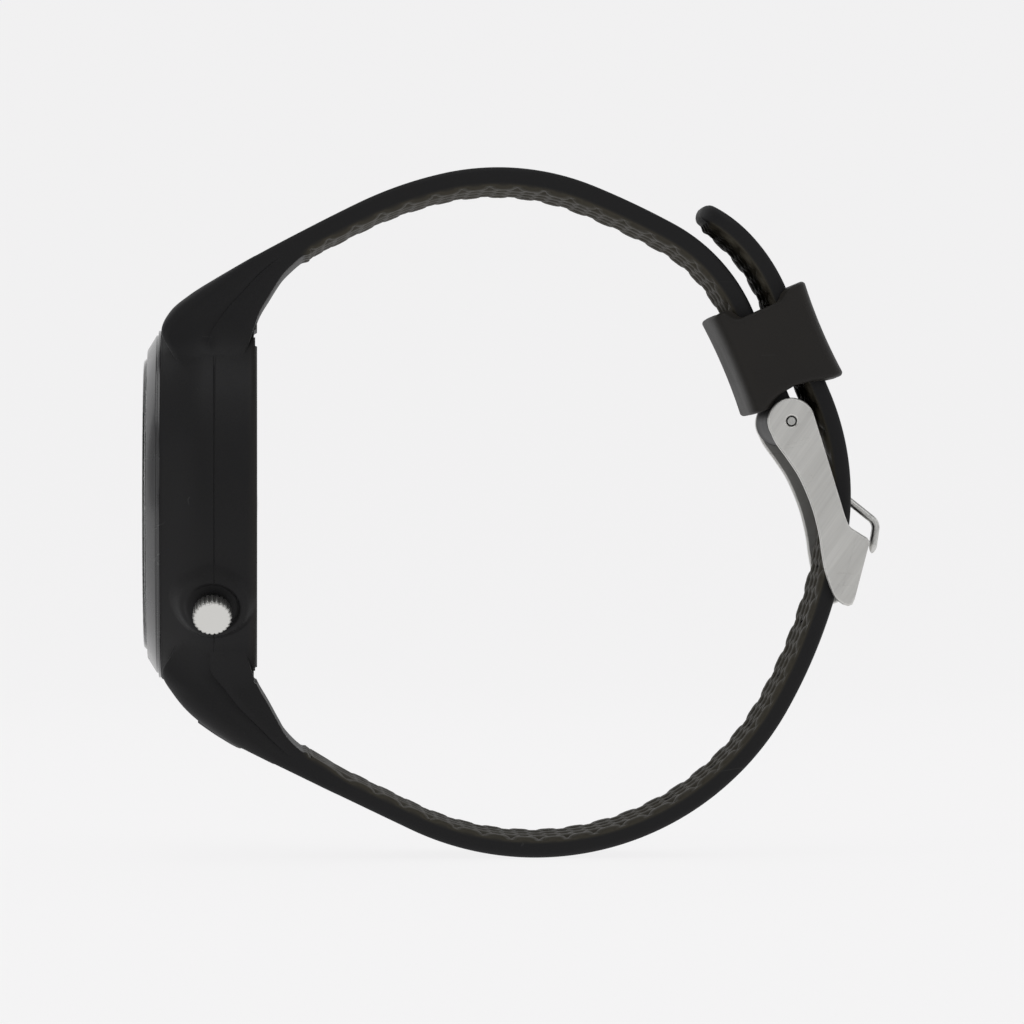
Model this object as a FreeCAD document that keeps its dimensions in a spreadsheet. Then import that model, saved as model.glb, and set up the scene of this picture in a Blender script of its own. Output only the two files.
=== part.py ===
# Wrist tracker with a one-piece silicone band, closed and buckled. Millimetres.
# Frame: origin at the centre of the wrist opening. +X is the 3 o'clock side and the loop's axis,
# -Y is the way the face looks, +Z is towards 12 o'clock.
import FreeCAD, Part
import Sketcher
import math
import os

Vector = FreeCAD.Vector
Placement = FreeCAD.Placement
Rotation = FreeCAD.Rotation
X_AXIS = Vector(1, 0, 0)
Y_AXIS = Vector(0, 1, 0)

# Driving dimensions. In the case group, every "top" or "base" is a height along the case axis,
# measured from the loop's centre towards the face. In the crown group, every "at" is a distance
# along the crown's axis, measured from the case axis.
DIMENSIONS = {
    # case: heights and radii
    "case_rise": 0.85,          # case axis above the loop's centre
    "back_face": 27.6,
    "back_inner": 28.9,
    "back_rim_top": 29.5,
    "back_floor_top": 28.95,
    "back_radius": 17.9,
    "back_rim_radius": 14.5,
    "back_rim_bore": 13.3,
    "gasket_top": 29.3,
    "gasket_radius": 15.1,
    "flange_top": 30.2,
    "flange_bore": 14.55,
    "case_radius": 18.2,
    "case_bore": 16.95,
    "case_mouth": 17.6,
    "case_shelf": 36.4,
    "case_top": 37.6,
    "sleeve_base": 27.4,
    "sleeve_back_radius": 20.2,
    "sleeve_radius": 20.9,
    "sleeve_round": 0.7,
    "sleeve_shoulder": 33.5,
    "sleeve_upper_radius": 20.5,
    "sleeve_upper": 35.6,
    "sleeve_front_radius": 19.6,
    "sleeve_front": 37.1,
    "sleeve_lip_radius": 18.75,
    # bezel, crystal and display
    "bezel_flange_radius": 18.6,
    "bezel_flange_top": 37.9,
    "bezel_groove_radius": 18.1,
    "bezel_cone_base": 38.1,
    "bezel_face_radius": 16.5,
    "bezel_face": 39.1,
    "bezel_bore": 15.9,
    "lens_radius": 15.6,
    "lens_seat": 37.9,
    "lens_top": 39.5,
    "lens_chamfer": 0.25,
    "lens_gasket_base": 38.0,
    "lens_gasket_top": 39.0,
    "ledge_radius": 14.9,
    "ledge_base": 37.2,
    "skirt_bore": 16.95,
    "ring_radius": 16.9,
    "ring_inner": 13.6,
    "ring_base": 36.45,
    "panel_radius": 15.6,
    "panel_base": 35.65,
    "frame_base": 35.05,
    "slot_width": 6.8,
    "slot_depth": 0.8,
    "slot_at": 14.2,            # distance of the flex slot below the case axis
    # board and what it carries
    "board_radius": 16.4,
    "board_base": 33.6,
    "board_top": 34.2,
    "board_hole_radius": 0.55,
    "boss_radius": 1.2,
    "boss_at": 15.3,
    "board_screw_shank": 0.5,
    "board_screw_base": 32.4,
    "screw_head_radius": 0.9,
    "board_screw_head": 0.5,
    "connector_width": 6.8,
    "connector_length": 2.0,
    "connector_height": 0.5,
    "connector_at": 11.6,
    "flex_width": 6.0,
    "flex_thick": 0.12,
    "flex_end": 9.8,
    "flex_drop": 14.66,
    # battery
    "battery_shift": 5.0,       # battery centre, away from the crown
    "battery_radius": 9.7,
    "battery_base": 30.65,
    "battery_height": 2.6,
    "tray_radius": 10.4,
    "tray_bore": 9.8,
    "tray_base": 30.25,
    "tray_top": 32.6,
    "tab_width": 2.0,
    "tab_length": 6.0,
    "tab_thick": 0.12,
    "tab_spread": 3.5,
    # vibration motor
    "motor_drop": 11.4,
    "motor_radius": 4.0,
    "motor_bore": 3.7,
    "motor_base": 30.4,
    "motor_floor": 30.7,
    "motor_roof": 32.8,
    "motor_top": 33.1,
    "motor_shaft_radius": 0.4,
    "rotor_radius": 3.4,
    "rotor_bore": 0.45,
    "rotor_hub_radius": 1.0,
    "rotor_base": 31.2,
    "rotor_height": 1.2,
    # back: sensor, charging contacts and screws
    "window_radius": 4.6,
    "window_crown": 27.25,
    "window_top": 29.0,
    "sensor_board_base": 29.35,
    "sensor_board_height": 0.5,
    "sensor_board_width": 11.0,
    "sensor_board_length": 9.0,
    "sensor_chip_base": 29.02,
    "sensor_chip_side": 1.6,
    "sensor_chip_spread": 2.3,
    "charge_pin_radius": 0.8,
    "charge_pin_spread": 2.6,
    "charge_pin_drop": 9.0,
    "charge_pin_top": 29.9,
    "back_screw_at": 16.25,
    "back_screw_shank": 0.5,
    "back_screw_top": 30.0,
    "back_screw_head": 0.45,
    "back_screw_recess": 0.1,
    # crown
    "crown_height": 32.1,       # crown axis, towards the face
    "crown_angle": 30.0,        # crown axis below 3 o'clock, degrees
    "cap_radius": 2.05,
    "cap_outer": 24.0,
    "cap_inner": 22.3,
    "cap_bore": 1.35,
    "cap_bore_end": 23.2,
    "knurl_depth": 0.14,
    "stem_radius": 0.45,
    "stem_end": 12.75,
    "tube_bore": 0.5,
    "tube_radius": 1.3,
    "tube_flange_radius": 1.45,
    "tube_flange_end": 16.2,
    "tube_flange_start": 16.8,
    "tube_shoulder": 21.7,
    "tube_neck_radius": 0.8,
    "tube_end": 22.6,
    "chamber_bore": 0.88,
    "chamber_start": 17.6,
    "chamber_end": 20.6,
    "seal_section": 0.2,
    "seal_ring": 0.66,
    "seal_first": 18.3,
    "seal_second": 19.9,
    "spring_bore": 0.92,        # the crown's spring: two cone washers joined at their outer edge
    "spring_flare": 0.23,
    "spring_wall": 0.13,
    "spring_start": 21.75,
    "spring_fold": 22.15,
    "spring_end": 22.55,
    "clip_start": 14.0,
    "clip_end": 14.3,
    "clip_radius": 1.05,
    "collar_start": 12.3,
    "collar_web": 12.7,
    "collar_end": 13.8,
    "collar_radius": 1.25,
    "collar_bore": 0.5,
    "plunger_radius": 0.7,
    "plunger_start": 11.35,
    "switch_start": 9.8,
    "switch_length": 1.9,
    "switch_width": 3.6,
    "switch_base": 31.0,
    "switch_bore": 0.75,
    "switch_bore_start": 10.8,
    "guard_radius": 3.4,
    "guard_end": 22.6,
    "recess_radius": 2.6,
    "recess_floor": 21.6,
    # band
    "root_half": 12.0,          # half widths of the strap at the case and at the buckle
    "end_half": 8.25,
    "taper_start": -28.0,
    "taper_end": 23.0,
    "strap_thick": 2.1,
    "tail_thick": 1.9,
    "tail_corner": 6.0,
    "tang_hole_at": 2.6,        # middle of the hole in use, past the first tail run
    "hole_pitch": 6.5,
    "hole_length": 3.2,
    "hole_width": 2.2,
    "engaged_length": 6.9,      # the hole in use: along the tang, and its room round it
    "engaged_lead": 3.4,
    "engaged_low": 0.25,
    "engaged_side": 0.2,
    "pad_length": 4.2,
    "pad_width": 9.0,
    "pad_proud": 0.35,
    "pad_depth": 0.8,
    "pad_lead": 0.2,
    # strap's buckle end, keeper and buckle
    "pivot_across": 29.37,
    "pivot_rise": 9.66,
    "end_tilt": 23.0,           # lean of the strap's straight end stretch from +Z, degrees
    "boss_end_radius": 2.5,
    "bar_hole": 0.8,
    "bar_tube_radius": 0.76,
    "bar_tube_half": 7.6,
    "bar_tube_bore": 0.55,
    "bar_pin_radius": 0.42,
    "bar_pin_body": 0.5,
    "bar_pin_outer": 9.7,
    "bar_pin_inner": 5.6,
    "bar_spring_radius": 0.36,
    "bar_spring_wire": 0.08,
    "bar_spring_pitch": 1.36,
    "bar_spring_span": 10.88,
    "tang_slot_half": 1.35,
    "tang_slot_radius": 2.05,
    "keeper_inner": 27.2,
    "keeper_outer": 37.9,
    "keeper_low": 0.15,
    "keeper_length": 10.6,
    "keeper_half": 10.15,
    "keeper_bore_inner": 29.2,
    "keeper_bore_outer": 36.3,
    "keeper_bore_half": 8.55,
    "keeper_round": 1.2,
    "plate_inner": 8.55,
    "plate_outer": 9.85,
    "plate_head": 2.5,
    "plate_hole": 0.5,
    "bar_thick": 1.5,
    "tang_half": 1.0,
    "tang_thick": 0.75,
    "tang_eye_bore": 0.82,
    "tang_eye_radius": 1.6,
    "tang_angle": -52.5,
    "tang_reach": 9.1,
    "tang_clearance": 2.2,
}

doc = FreeCAD.newDocument("tracker")
sheet = doc.addObject("Spreadsheet::Sheet", "Dimensions")
for row, (alias, number) in enumerate(DIMENSIONS.items(), 1):
    sheet.set("A%d" % row, alias)
    sheet.set("B%d" % row, str(number))
    sheet.setAlias("B%d" % row, alias)
doc.recompute()

NODES = []


# ---------------------------------------------------------------- helpers

def value(text):
    """Number of a sum such as "lens_top - lens_chamfer", read from the sheet."""
    total, sign = 0.0, 1
    for word in text.split():
        if word in ("+", "-"):
            sign = 1 if word == "+" else -1
        else:
            total += sign * (getattr(sheet, word) if word in DIMENSIONS else float(word))
    return total


def bound(text):
    """The same sum as an expression on the sheet's aliases."""
    return " ".join("Dimensions." + word if word in DIMENSIONS else word for word in text.split())


def bind(thing, **sizes):
    """Binds each named property of a feature to a sum of the sheet's cells."""
    for name, text in sizes.items():
        thing.setExpression(name, bound(text))
    return thing


def case_frame():
    """Local z runs out of the dial along the case axis, local y towards 12 o'clock."""
    return Placement(Vector(0, 0, value("case_rise")), Rotation(X_AXIS, 90))


def crown_frame():
    """Local z runs outwards along the crown's axis from the case axis."""
    return Placement(Vector(0, -value("crown_height"), value("case_rise")),
                     Rotation(Y_AXIS, 90 + value("crown_angle")))


def pivot_frame():
    """Local z runs along the spring bar, local x is the model's +Y and local y its +Z."""
    return Placement(Vector(0, value("pivot_across"), value("pivot_rise")),
                     Rotation(Vector(0, 1, 0), Vector(0, 0, 1), X_AXIS, "ZXY"))


def end_frame():
    """Local z runs up the strap's straight end stretch, local y out of its outer face."""
    return Placement(Vector(0, 0, 0), Rotation(X_AXIS, value("end_tilt")))


def sketch(body, name, role, points):
    """A closed polygon on one of the body's origin planes, every corner bound to the sheet."""
    outline = body.newObject("Sketcher::SketchObject", name)
    plane = [f for f in body.Origin.OriginFeatures if f.Role == role][0]
    outline.AttachmentSupport = [(plane, "")]
    outline.MapMode = "FlatFace"
    corners = [Vector(value(a), value(b), 0) for a, b in points]
    for i, corner in enumerate(corners):
        outline.addGeometry(Part.LineSegment(corner, corners[(i + 1) % len(corners)]), False)
    for i, (a, b) in enumerate(points):
        following = (i + 1) % len(points)
        outline.addConstraint(Sketcher.Constraint("Coincident", i, 2, following, 1))
        across = outline.addConstraint(Sketcher.Constraint("DistanceX", -1, 1, i, 1, value(a)))
        outline.setExpression("Constraints[%d]" % across, bound(a))
        up = outline.addConstraint(Sketcher.Constraint("DistanceY", -1, 1, i, 1, value(b)))
        outline.setExpression("Constraints[%d]" % up, bound(b))
    return outline


def turned(name, points, frame):
    """A turned piece: a profile of (radius, height) pairs carried round the local z axis."""
    body = doc.addObject("PartDesign::Body", name)
    outline = sketch(body, name + "_profile", "XZ_Plane", points)
    turn = body.newObject("PartDesign::Revolution", name + "_turn")
    turn.Profile = outline
    turn.ReferenceAxis = (outline, ["V_Axis"])
    turn.Angle = 360
    body.Placement = frame
    return body


def cylinder(name, radius, height, frame, x="0", y="0", z="0"):
    """A straight round solid; x, y and z place its base centre in the frame."""
    thing = bind(doc.addObject("Part::Cylinder", name), Radius=radius, Height=height)
    thing.Placement = frame.multiply(Placement(Vector(value(x), value(y), value(z)), Rotation()))
    return thing


def block(name, size, corner, frame):
    """A rectangular solid from its three sizes and its lowest corner in the frame."""
    thing = bind(doc.addObject("Part::Box", name), Length=size[0], Width=size[1], Height=size[2])
    thing.Placement = frame.multiply(Placement(Vector(*corner), Rotation()))
    return thing


def fused(name, things):
    union = doc.addObject("Part::MultiFuse", name)
    union.Shapes = things
    return union


def cut(name, base, tools):
    """The base less every tool."""
    result = doc.addObject("Part::Cut", name)
    result.Base = base
    result.Tool = tools[0] if len(tools) == 1 else fused(name + "_tools", tools)
    result.Refine = False
    return result


def feature(name, shape, frame=None):
    """A piece whose shape is worked out below from the sheet's numbers."""
    thing = doc.addObject("Part::Feature", name)
    thing.Shape = shape
    thing.Placement = frame or Placement()
    return thing


def node(name, thing):
    """Marks a finished sub-part."""
    thing.Label = name
    NODES.append((name, thing))
    return thing


def polar(distance, degrees):
    angle = math.radians(degrees)
    return distance * math.cos(angle), distance * math.sin(angle)


# ---------------------------------------------------------------- bezel, crystal and display

def front_of_case(frame):
    node("lens", turned("lens_blank", [
        ("0", "lens_seat"), ("lens_radius", "lens_seat"), ("lens_radius", "lens_top - lens_chamfer"),
        ("lens_radius - lens_chamfer", "lens_top"), ("0", "lens_top")], frame))
    node("lens_gasket", turned("lens_gasket_ring", [
        ("lens_radius", "lens_gasket_base"), ("bezel_bore", "lens_gasket_base"),
        ("bezel_bore", "lens_gasket_top"), ("lens_radius", "lens_gasket_top")], frame))
    node("bezel_ring", turned("bezel_blank", [
        ("ledge_radius", "ledge_base"), ("skirt_bore", "ledge_base"), ("skirt_bore", "case_shelf"),
        ("case_mouth", "case_shelf"), ("case_mouth", "case_top"), ("bezel_flange_radius", "case_top"),
        ("bezel_flange_radius", "bezel_flange_top"), ("bezel_groove_radius", "bezel_flange_top"),
        ("bezel_groove_radius", "bezel_cone_base"), ("bezel_face_radius", "bezel_face"),
        ("bezel_bore", "bezel_face"), ("bezel_bore", "lens_seat"), ("ledge_radius", "lens_seat")], frame))
    node("dial_ring", turned("dial_ring_blank", [
        ("ring_inner", "ring_base"), ("ring_radius", "ring_base"), ("ring_radius", "ledge_base"),
        ("ledge_radius", "ledge_base")], frame))
    node("display_panel", turned("display_glass", [
        ("0", "panel_base"), ("panel_radius", "panel_base"), ("panel_radius", "ring_base"),
        ("0", "ring_base")], frame))
    tray = turned("display_tray", [
        ("0", "frame_base"), ("ring_radius", "frame_base"), ("ring_radius", "ring_base"),
        ("panel_radius", "ring_base"), ("panel_radius", "panel_base"), ("0", "panel_base")], frame)
    slot = block("flex_slot", ("slot_width", "slot_depth", "panel_base - frame_base"),
                 (-value("slot_width") / 2, -value("slot_at + slot_depth"), value("frame_base")), frame)
    node("display_frame", cut("display_frame_cut", tray, [slot]))


# ---------------------------------------------------------------- board, battery and motor

BOARD_SCREW_ANGLES = (20, 95, 210)
# Chips on the board: their three sizes, and their lowest corner on it.
CHIPS = {
    "processor_chip": ((6.5, 6.5, 0.7), (-4.0, -2.5)),
    "radio_chip": ((4.2, 3.4, 0.6), (4.6, 3.0)),
    "motion_chip": ((2.6, 2.6, 0.6), (-1.2, 7.4)),
}


def electronics(frame):
    blank = cylinder("board_blank", "board_radius", "board_top - board_base", frame, z="board_base")
    holes = []
    screws = []
    for i, angle in enumerate(BOARD_SCREW_ANGLES):
        x, y = polar(value("boss_at"), angle)
        hole = cylinder("board_hole_%d" % i, "board_hole_radius", "board_top - board_base", frame,
                        str(x), str(y), "board_base")
        holes.append(hole)
        shank = cylinder("board_screw_shank_%d" % i, "board_screw_shank", "board_top - board_screw_base",
                         frame, str(x), str(y), "board_screw_base")
        head = cylinder("board_screw_head_%d" % i, "screw_head_radius", "board_screw_head", frame,
                        str(x), str(y), "board_top")
        screws.append(fused("board_screw_%d" % i, [shank, head]))
    node("main_board", cut("board_cut", blank, holes))
    node("board_screws", fused("board_screw_set", screws))

    top = value("board_top")
    for name, (size, corner) in CHIPS.items():
        node(name, block(name + "_box", [str(side) for side in size], (*corner, top), frame))

    node("board_connector", block(
        "connector_box", ("connector_width", "connector_length", "connector_height"),
        (-value("connector_width") / 2, -value("connector_at"), top), frame))
    lift = value("board_top + connector_height")
    flat = block("flex_flat", ("flex_width", "flex_drop - flex_end", "flex_thick"),
                 (-value("flex_width") / 2, -value("flex_drop"), lift), frame)
    rise = block("flex_rise", ("flex_width", "flex_thick", "panel_base - board_top - connector_height"),
                 (-value("flex_width") / 2, -value("flex_drop"), lift), frame)
    node("display_flex", fused("flex_strip", [flat, rise]))

    x, y = polar(value("battery_shift"), 180 - value("crown_angle"))
    seat = frame.multiply(Placement(Vector(x, y, 0), Rotation()))
    node("battery_cell", cylinder("battery_can", "battery_radius", "battery_height", seat, z="battery_base"))
    node("battery_tray", turned("battery_cup", [
        ("0", "tray_base"), ("tray_radius", "tray_base"), ("tray_radius", "tray_top"),
        ("tray_bore", "tray_top"), ("tray_bore", "battery_base"), ("0", "battery_base")], seat))
    strips = []
    for side in (-1, 1):
        across = side * value("tab_spread") - value("tab_width") / 2
        level = value("battery_base + battery_height")
        lying = block("tab_flat_%d" % (side + 1), ("tab_width", "tab_length", "tab_thick"),
                      (across, 0, level), seat)
        standing = block("tab_rise_%d" % (side + 1),
                         ("tab_width", "tab_thick", "board_base - battery_base - battery_height"),
                         (across, value("tab_length"), level), seat)
        strips += [lying, standing]
    node("battery_tabs", fused("battery_tab_pair", strips))

    nest = frame.multiply(Placement(Vector(0, -value("motor_drop"), 0), Rotation()))
    node("motor_case", turned("motor_can", [
        ("0", "motor_base"), ("motor_radius", "motor_base"), ("motor_radius", "motor_top"),
        ("0", "motor_top"), ("0", "motor_roof"), ("motor_bore", "motor_roof"),
        ("motor_bore", "motor_floor"), ("0", "motor_floor")], nest))
    node("motor_shaft", cylinder("motor_pin", "motor_shaft_radius", "motor_roof - motor_floor", nest,
                                 z="motor_floor"))
    sector = cylinder("rotor_weight", "rotor_radius", "rotor_height", nest, z="rotor_base")
    sector.Angle = 180
    hub = cylinder("rotor_hub", "rotor_hub_radius", "rotor_height", nest, z="rotor_base")
    bore = cylinder("rotor_eye", "rotor_bore", "rotor_height", nest, z="rotor_base")
    node("motor_rotor", cut("rotor_cut", fused("rotor_blank", [sector, hub]), [bore]))


# ---------------------------------------------------------------- housing and back

BACK_SCREW_ANGLES = (45, 135, 225, 315)


def housing(frame, crown):
    shell = turned("housing_blank", [
        ("gasket_radius", "back_inner"), ("case_radius", "back_inner"), ("case_radius", "case_top"),
        ("case_mouth", "case_top"), ("case_mouth", "case_shelf"), ("case_bore", "case_shelf"),
        ("case_bore", "flange_top"), ("flange_bore", "flange_top"), ("flange_bore", "gasket_top"),
        ("gasket_radius", "gasket_top")], frame)
    bosses = []
    drills = [cylinder("tube_hole", "tube_radius", "case_radius", crown, z="stem_end")]
    for i, angle in enumerate(BOARD_SCREW_ANGLES):
        x, y = polar(value("boss_at"), angle)
        bosses.append(cylinder("boss_%d" % i, "boss_radius", "board_base - flange_top", frame,
                               str(x), str(y), "flange_top"))
        drills.append(cylinder("boss_drill_%d" % i, "board_screw_shank", "board_base - board_screw_base",
                               frame, str(x), str(y), "board_screw_base"))
    counterbores = []
    screws = []
    for i, angle in enumerate(BACK_SCREW_ANGLES):
        x, y = [str(c) for c in polar(value("back_screw_at"), angle)]
        drills.append(cylinder("back_drill_%d" % i, "back_screw_shank", "back_screw_top - back_inner",
                               frame, x, y, "back_inner"))
        counterbores.append(cylinder("back_hole_%d" % i, "back_screw_shank", "back_inner - back_face",
                                     frame, x, y, "back_face"))
        counterbores.append(cylinder("back_sink_%d" % i, "screw_head_radius",
                                     "back_screw_recess + back_screw_head", frame, x, y, "back_face"))
        shank = cylinder("back_screw_shank_%d" % i, "back_screw_shank",
                         "back_screw_top - back_face - back_screw_recess - back_screw_head", frame,
                         x, y, "back_face + back_screw_recess + back_screw_head")
        head = cylinder("back_screw_head_%d" % i, "screw_head_radius", "back_screw_head", frame,
                        x, y, "back_face + back_screw_recess")
        screws.append(fused("back_screw_%d" % i, [shank, head]))
    node("module_case", cut("housing_cut", fused("housing_body", [shell] + bosses), drills))
    node("case_back_screws", fused("back_screw_set", screws))

    cover = turned("back_blank", [
        ("window_radius", "back_face"), ("back_radius", "back_face"), ("back_radius", "back_inner"),
        ("back_rim_radius", "back_inner"), ("back_rim_radius", "back_rim_top"),
        ("back_rim_bore", "back_rim_top"), ("back_rim_bore", "back_floor_top"),
        ("window_radius", "back_floor_top")], frame)
    pins = []
    for side in (-1, 1):
        x = str(side * value("charge_pin_spread"))
        y = str(-value("charge_pin_drop"))
        counterbores.append(cylinder("charge_hole_%d" % (side + 1), "charge_pin_radius",
                                     "back_floor_top - back_face", frame, x, y, "back_face"))
        pins.append(cylinder("charge_pin_%d" % (side + 1), "charge_pin_radius",
                             "charge_pin_top - back_face", frame, x, y, "back_face"))
    node("case_back", cut("back_cut", cover, counterbores))
    node("charge_pins", fused("charge_pin_pair", pins))
    node("case_back_gasket", turned("back_gasket_ring", [
        ("back_rim_radius", "back_inner"), ("gasket_radius", "back_inner"),
        ("gasket_radius", "gasket_top"), ("back_rim_radius", "gasket_top")], frame))
    node("sensor_window", turned("window_blank", [
        ("0", "window_crown"), ("window_radius", "back_face"), ("window_radius", "window_top"),
        ("0", "window_top")], frame))
    lights = [block("sensor_plate", ("sensor_board_width", "sensor_board_length", "sensor_board_height"),
                    (-value("sensor_board_width") / 2, -value("sensor_board_length") / 2,
                     value("sensor_board_base")), frame)]
    half = value("sensor_chip_side") / 2
    for i in range(4):
        x, y = polar(value("sensor_chip_spread"), 90 * i)
        lights.append(block("sensor_light_%d" % i,
                            ("sensor_chip_side", "sensor_chip_side", "sensor_board_base - sensor_chip_base"),
                            (x - half, y - half, value("sensor_chip_base")), frame))
    node("sensor_board", fused("sensor_plate_set", lights))


# ---------------------------------------------------------------- crown

KNURL_TEETH = 24


def crown_set(crown):
    blank = turned("cap_blank", [
        ("0", "cap_bore_end"), ("cap_bore", "cap_bore_end"), ("cap_bore", "cap_inner"),
        ("cap_radius", "cap_inner"), ("cap_radius", "cap_outer"), ("0", "cap_outer")], crown)
    grooves = []
    groove_radius = math.pi * value("cap_radius") / KNURL_TEETH / 2
    for i in range(KNURL_TEETH):
        x, y = polar(value("cap_radius") + groove_radius - value("knurl_depth"), 360 * i / KNURL_TEETH)
        grooves.append(cylinder("knurl_%d" % i, str(groove_radius), "cap_outer - cap_inner", crown,
                                str(x), str(y), "cap_inner"))
    node("crown_cap", cut("cap_knurled", blank, grooves))
    node("crown_stem", cylinder("stem_rod", "stem_radius", "cap_bore_end - stem_end", crown, z="stem_end"))
    rings = []
    for i, at in enumerate(("seal_first", "seal_second")):
        ring = bind(doc.addObject("Part::Torus", "seal_%d" % i), Radius1="seal_ring", Radius2="seal_section")
        ring.Placement = crown.multiply(Placement(Vector(0, 0, value(at)), Rotation()))
        rings.append(ring)
    node("crown_seals", fused("seal_pair", rings))
    node("crown_tube", turned("tube_blank", [
        ("tube_bore", "tube_flange_end"), ("tube_flange_radius", "tube_flange_end"),
        ("tube_flange_radius", "tube_flange_start"), ("tube_radius", "tube_flange_start"),
        ("tube_radius", "tube_shoulder"), ("tube_neck_radius", "tube_shoulder"),
        ("tube_neck_radius", "tube_end"), ("tube_bore", "tube_end"), ("tube_bore", "chamber_end"),
        ("chamber_bore", "chamber_end"), ("chamber_bore", "chamber_start"),
        ("tube_bore", "chamber_start")], crown))
    node("stem_clip", turned("clip_ring", [
        ("stem_radius", "clip_start"), ("clip_radius", "clip_start"), ("clip_radius", "clip_end"),
        ("stem_radius", "clip_end")], crown))
    node("stem_collar", turned("collar_cup", [
        ("0", "collar_start"), ("collar_radius", "collar_start"), ("collar_radius", "collar_end"),
        ("collar_bore", "collar_end"), ("collar_bore", "collar_web"), ("0", "collar_web")], crown))
    node("switch_plunger", cylinder("plunger_rod", "plunger_radius", "collar_start - plunger_start", crown,
                                    z="plunger_start"))
    # the switch hangs from the board: its height is measured along the case axis
    half = value("switch_width") / 2
    body = doc.addObject("Part::Box", "switch_box")
    bind(body, Length="board_base - switch_base", Width="switch_width", Height="switch_length")
    low = value("switch_base - crown_height")
    body.Placement = crown.multiply(Placement(Vector(0, 0, 0), Rotation(Vector(0, 0, 1), -90))).multiply(
        Placement(Vector(low, -half, value("switch_start")), Rotation()))
    bore = cylinder("switch_eye", "switch_bore", "switch_start + switch_length - switch_bore_start", crown,
                    z="switch_bore_start")
    node("crown_switch", cut("switch_cut", body, [bore]))
    node("crown_spring", turned("spring_washers", [
        ("spring_bore", "spring_start"), ("spring_bore + spring_wall", "spring_start"),
        ("spring_bore + spring_flare + spring_wall", "spring_fold"),
        ("spring_bore + spring_wall", "spring_end"), ("spring_bore", "spring_end"),
        ("spring_bore + spring_flare", "spring_fold")], crown))


def coil(name, radius, wire, pitch, length, frame):
    """A round wire carried along a helix about the frame's z axis."""
    helix = Part.makeHelix(value(pitch), value(length), value(radius))
    start = Vector(value(radius), 0, 0)
    slope = Vector(0, 2 * math.pi * value(radius), value(pitch))
    section = Part.Wire(Part.makeCircle(value(wire), start, slope))
    solid = Part.Wire(helix.Edges).makePipeShell([section], True, True)
    return feature(name, solid, frame)


# ---------------------------------------------------------------- band

# Outer line of each strap half in the model's YZ plane, from the case outwards: (length, turn in degrees).
# Both halves run straight and parallel through the keeper, at end_tilt from +Z.
UPPER_START = (-32.10, 24.57)
UPPER_HEADING = 30.4
UPPER_RUNS = [(17.3, -4.3), (9.6, -13.0), (16.6, -35.0), (9.4, -6.2), (12.9, -38.9), (12.0, 0.0)]
LOWER_START = (-30.05, -24.55)
LOWER_HEADING = -26.2
LOWER_RUNS = [(21.0, 0.6), (27.5, 50.6), (18.8, 35.4), (12.8, 12.9)]
TAIL_RUNS = [(8.4, 10.3), (14.5, 29.4), (11.9, 0.0), (12.9, 37.7)]
TAIL_HOLE_STEPS = range(-6, 3)
# Where each strap half grows out of the sleeve: corner points in the YZ plane, from the face backwards
# along the outside and back along the inside.
ROOT_TOP = [(-37.6, 18.9), (-36.3, 21.2), (-34.5, 23.1), (-32.1, 24.57), (-24.55, 28.9), (-23.5, 27.0),
            (-24.9, 25.7), (-26.3, 23.4), (-27.3, 21.2), (-28.0, 18.8)]
ROOT_LOW = [(-37.6, -17.2), (-36.6, -19.2), (-35.3, -20.9), (-33.3, -22.45), (-24.9, -26.65),
            (-24.0, -24.8), (-25.2, -23.4), (-26.3, -21.3), (-27.2, -19.2), (-28.0, -17.4)]


def trace(start, heading, runs, offset):
    """Edges of a chain of tangent arcs, moved sideways to the left by offset, and its end state."""
    point, angle = Vector(0, *start), math.radians(heading)
    edges = []

    def moved(p, a):
        return p + Vector(0, -math.sin(a), math.cos(a)) * offset

    def ahead(p, a, length, turn):
        if abs(turn) < 1e-6:
            return p + Vector(0, math.cos(a), math.sin(a)) * length
        radius = length / turn
        return p + Vector(0, math.sin(a + turn) - math.sin(a), math.cos(a) - math.cos(a + turn)) * radius

    for length, turn_degrees in runs:
        turn = math.radians(turn_degrees)
        middle = ahead(point, angle, length / 2, turn / 2)
        end = ahead(point, angle, length, turn)
        if turn_degrees:
            arc = Part.Arc(moved(point, angle), moved(middle, angle + turn / 2), moved(end, angle + turn))
            edges.append(arc.toShape())
        else:
            edges.append(Part.makeLine(moved(point, angle), moved(end, angle)))
        point, angle = end, angle + turn
    return edges, point, math.degrees(angle)


def ribbon(name, start, heading, runs, thick, half):
    """A strap stretch: the strip between its outer line and the line thick to its inner side."""
    outer = trace(start, heading, runs, 0)[0]
    inner = trace(start, heading, runs, thick)[0]
    ends = [Part.makeLine(outer[0].Vertexes[0].Point, inner[0].Vertexes[0].Point),
            Part.makeLine(outer[-1].Vertexes[-1].Point, inner[-1].Vertexes[-1].Point)]
    outline = Part.Wire(Part.__sortEdges__(outer + inner + ends))
    outline.translate(Vector(-half, 0, 0))
    return feature(name, Part.Face(outline).extrude(Vector(2 * half, 0, 0)))


def slab(name, points, half):
    """A flat solid across the band, from corner points in the YZ plane."""
    corners = [Vector(-half, y, z) for y, z in points]
    return feature(name, Part.Face(Part.makePolygon(corners + corners[:1])).extrude(Vector(2 * half, 0, 0)))


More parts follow.
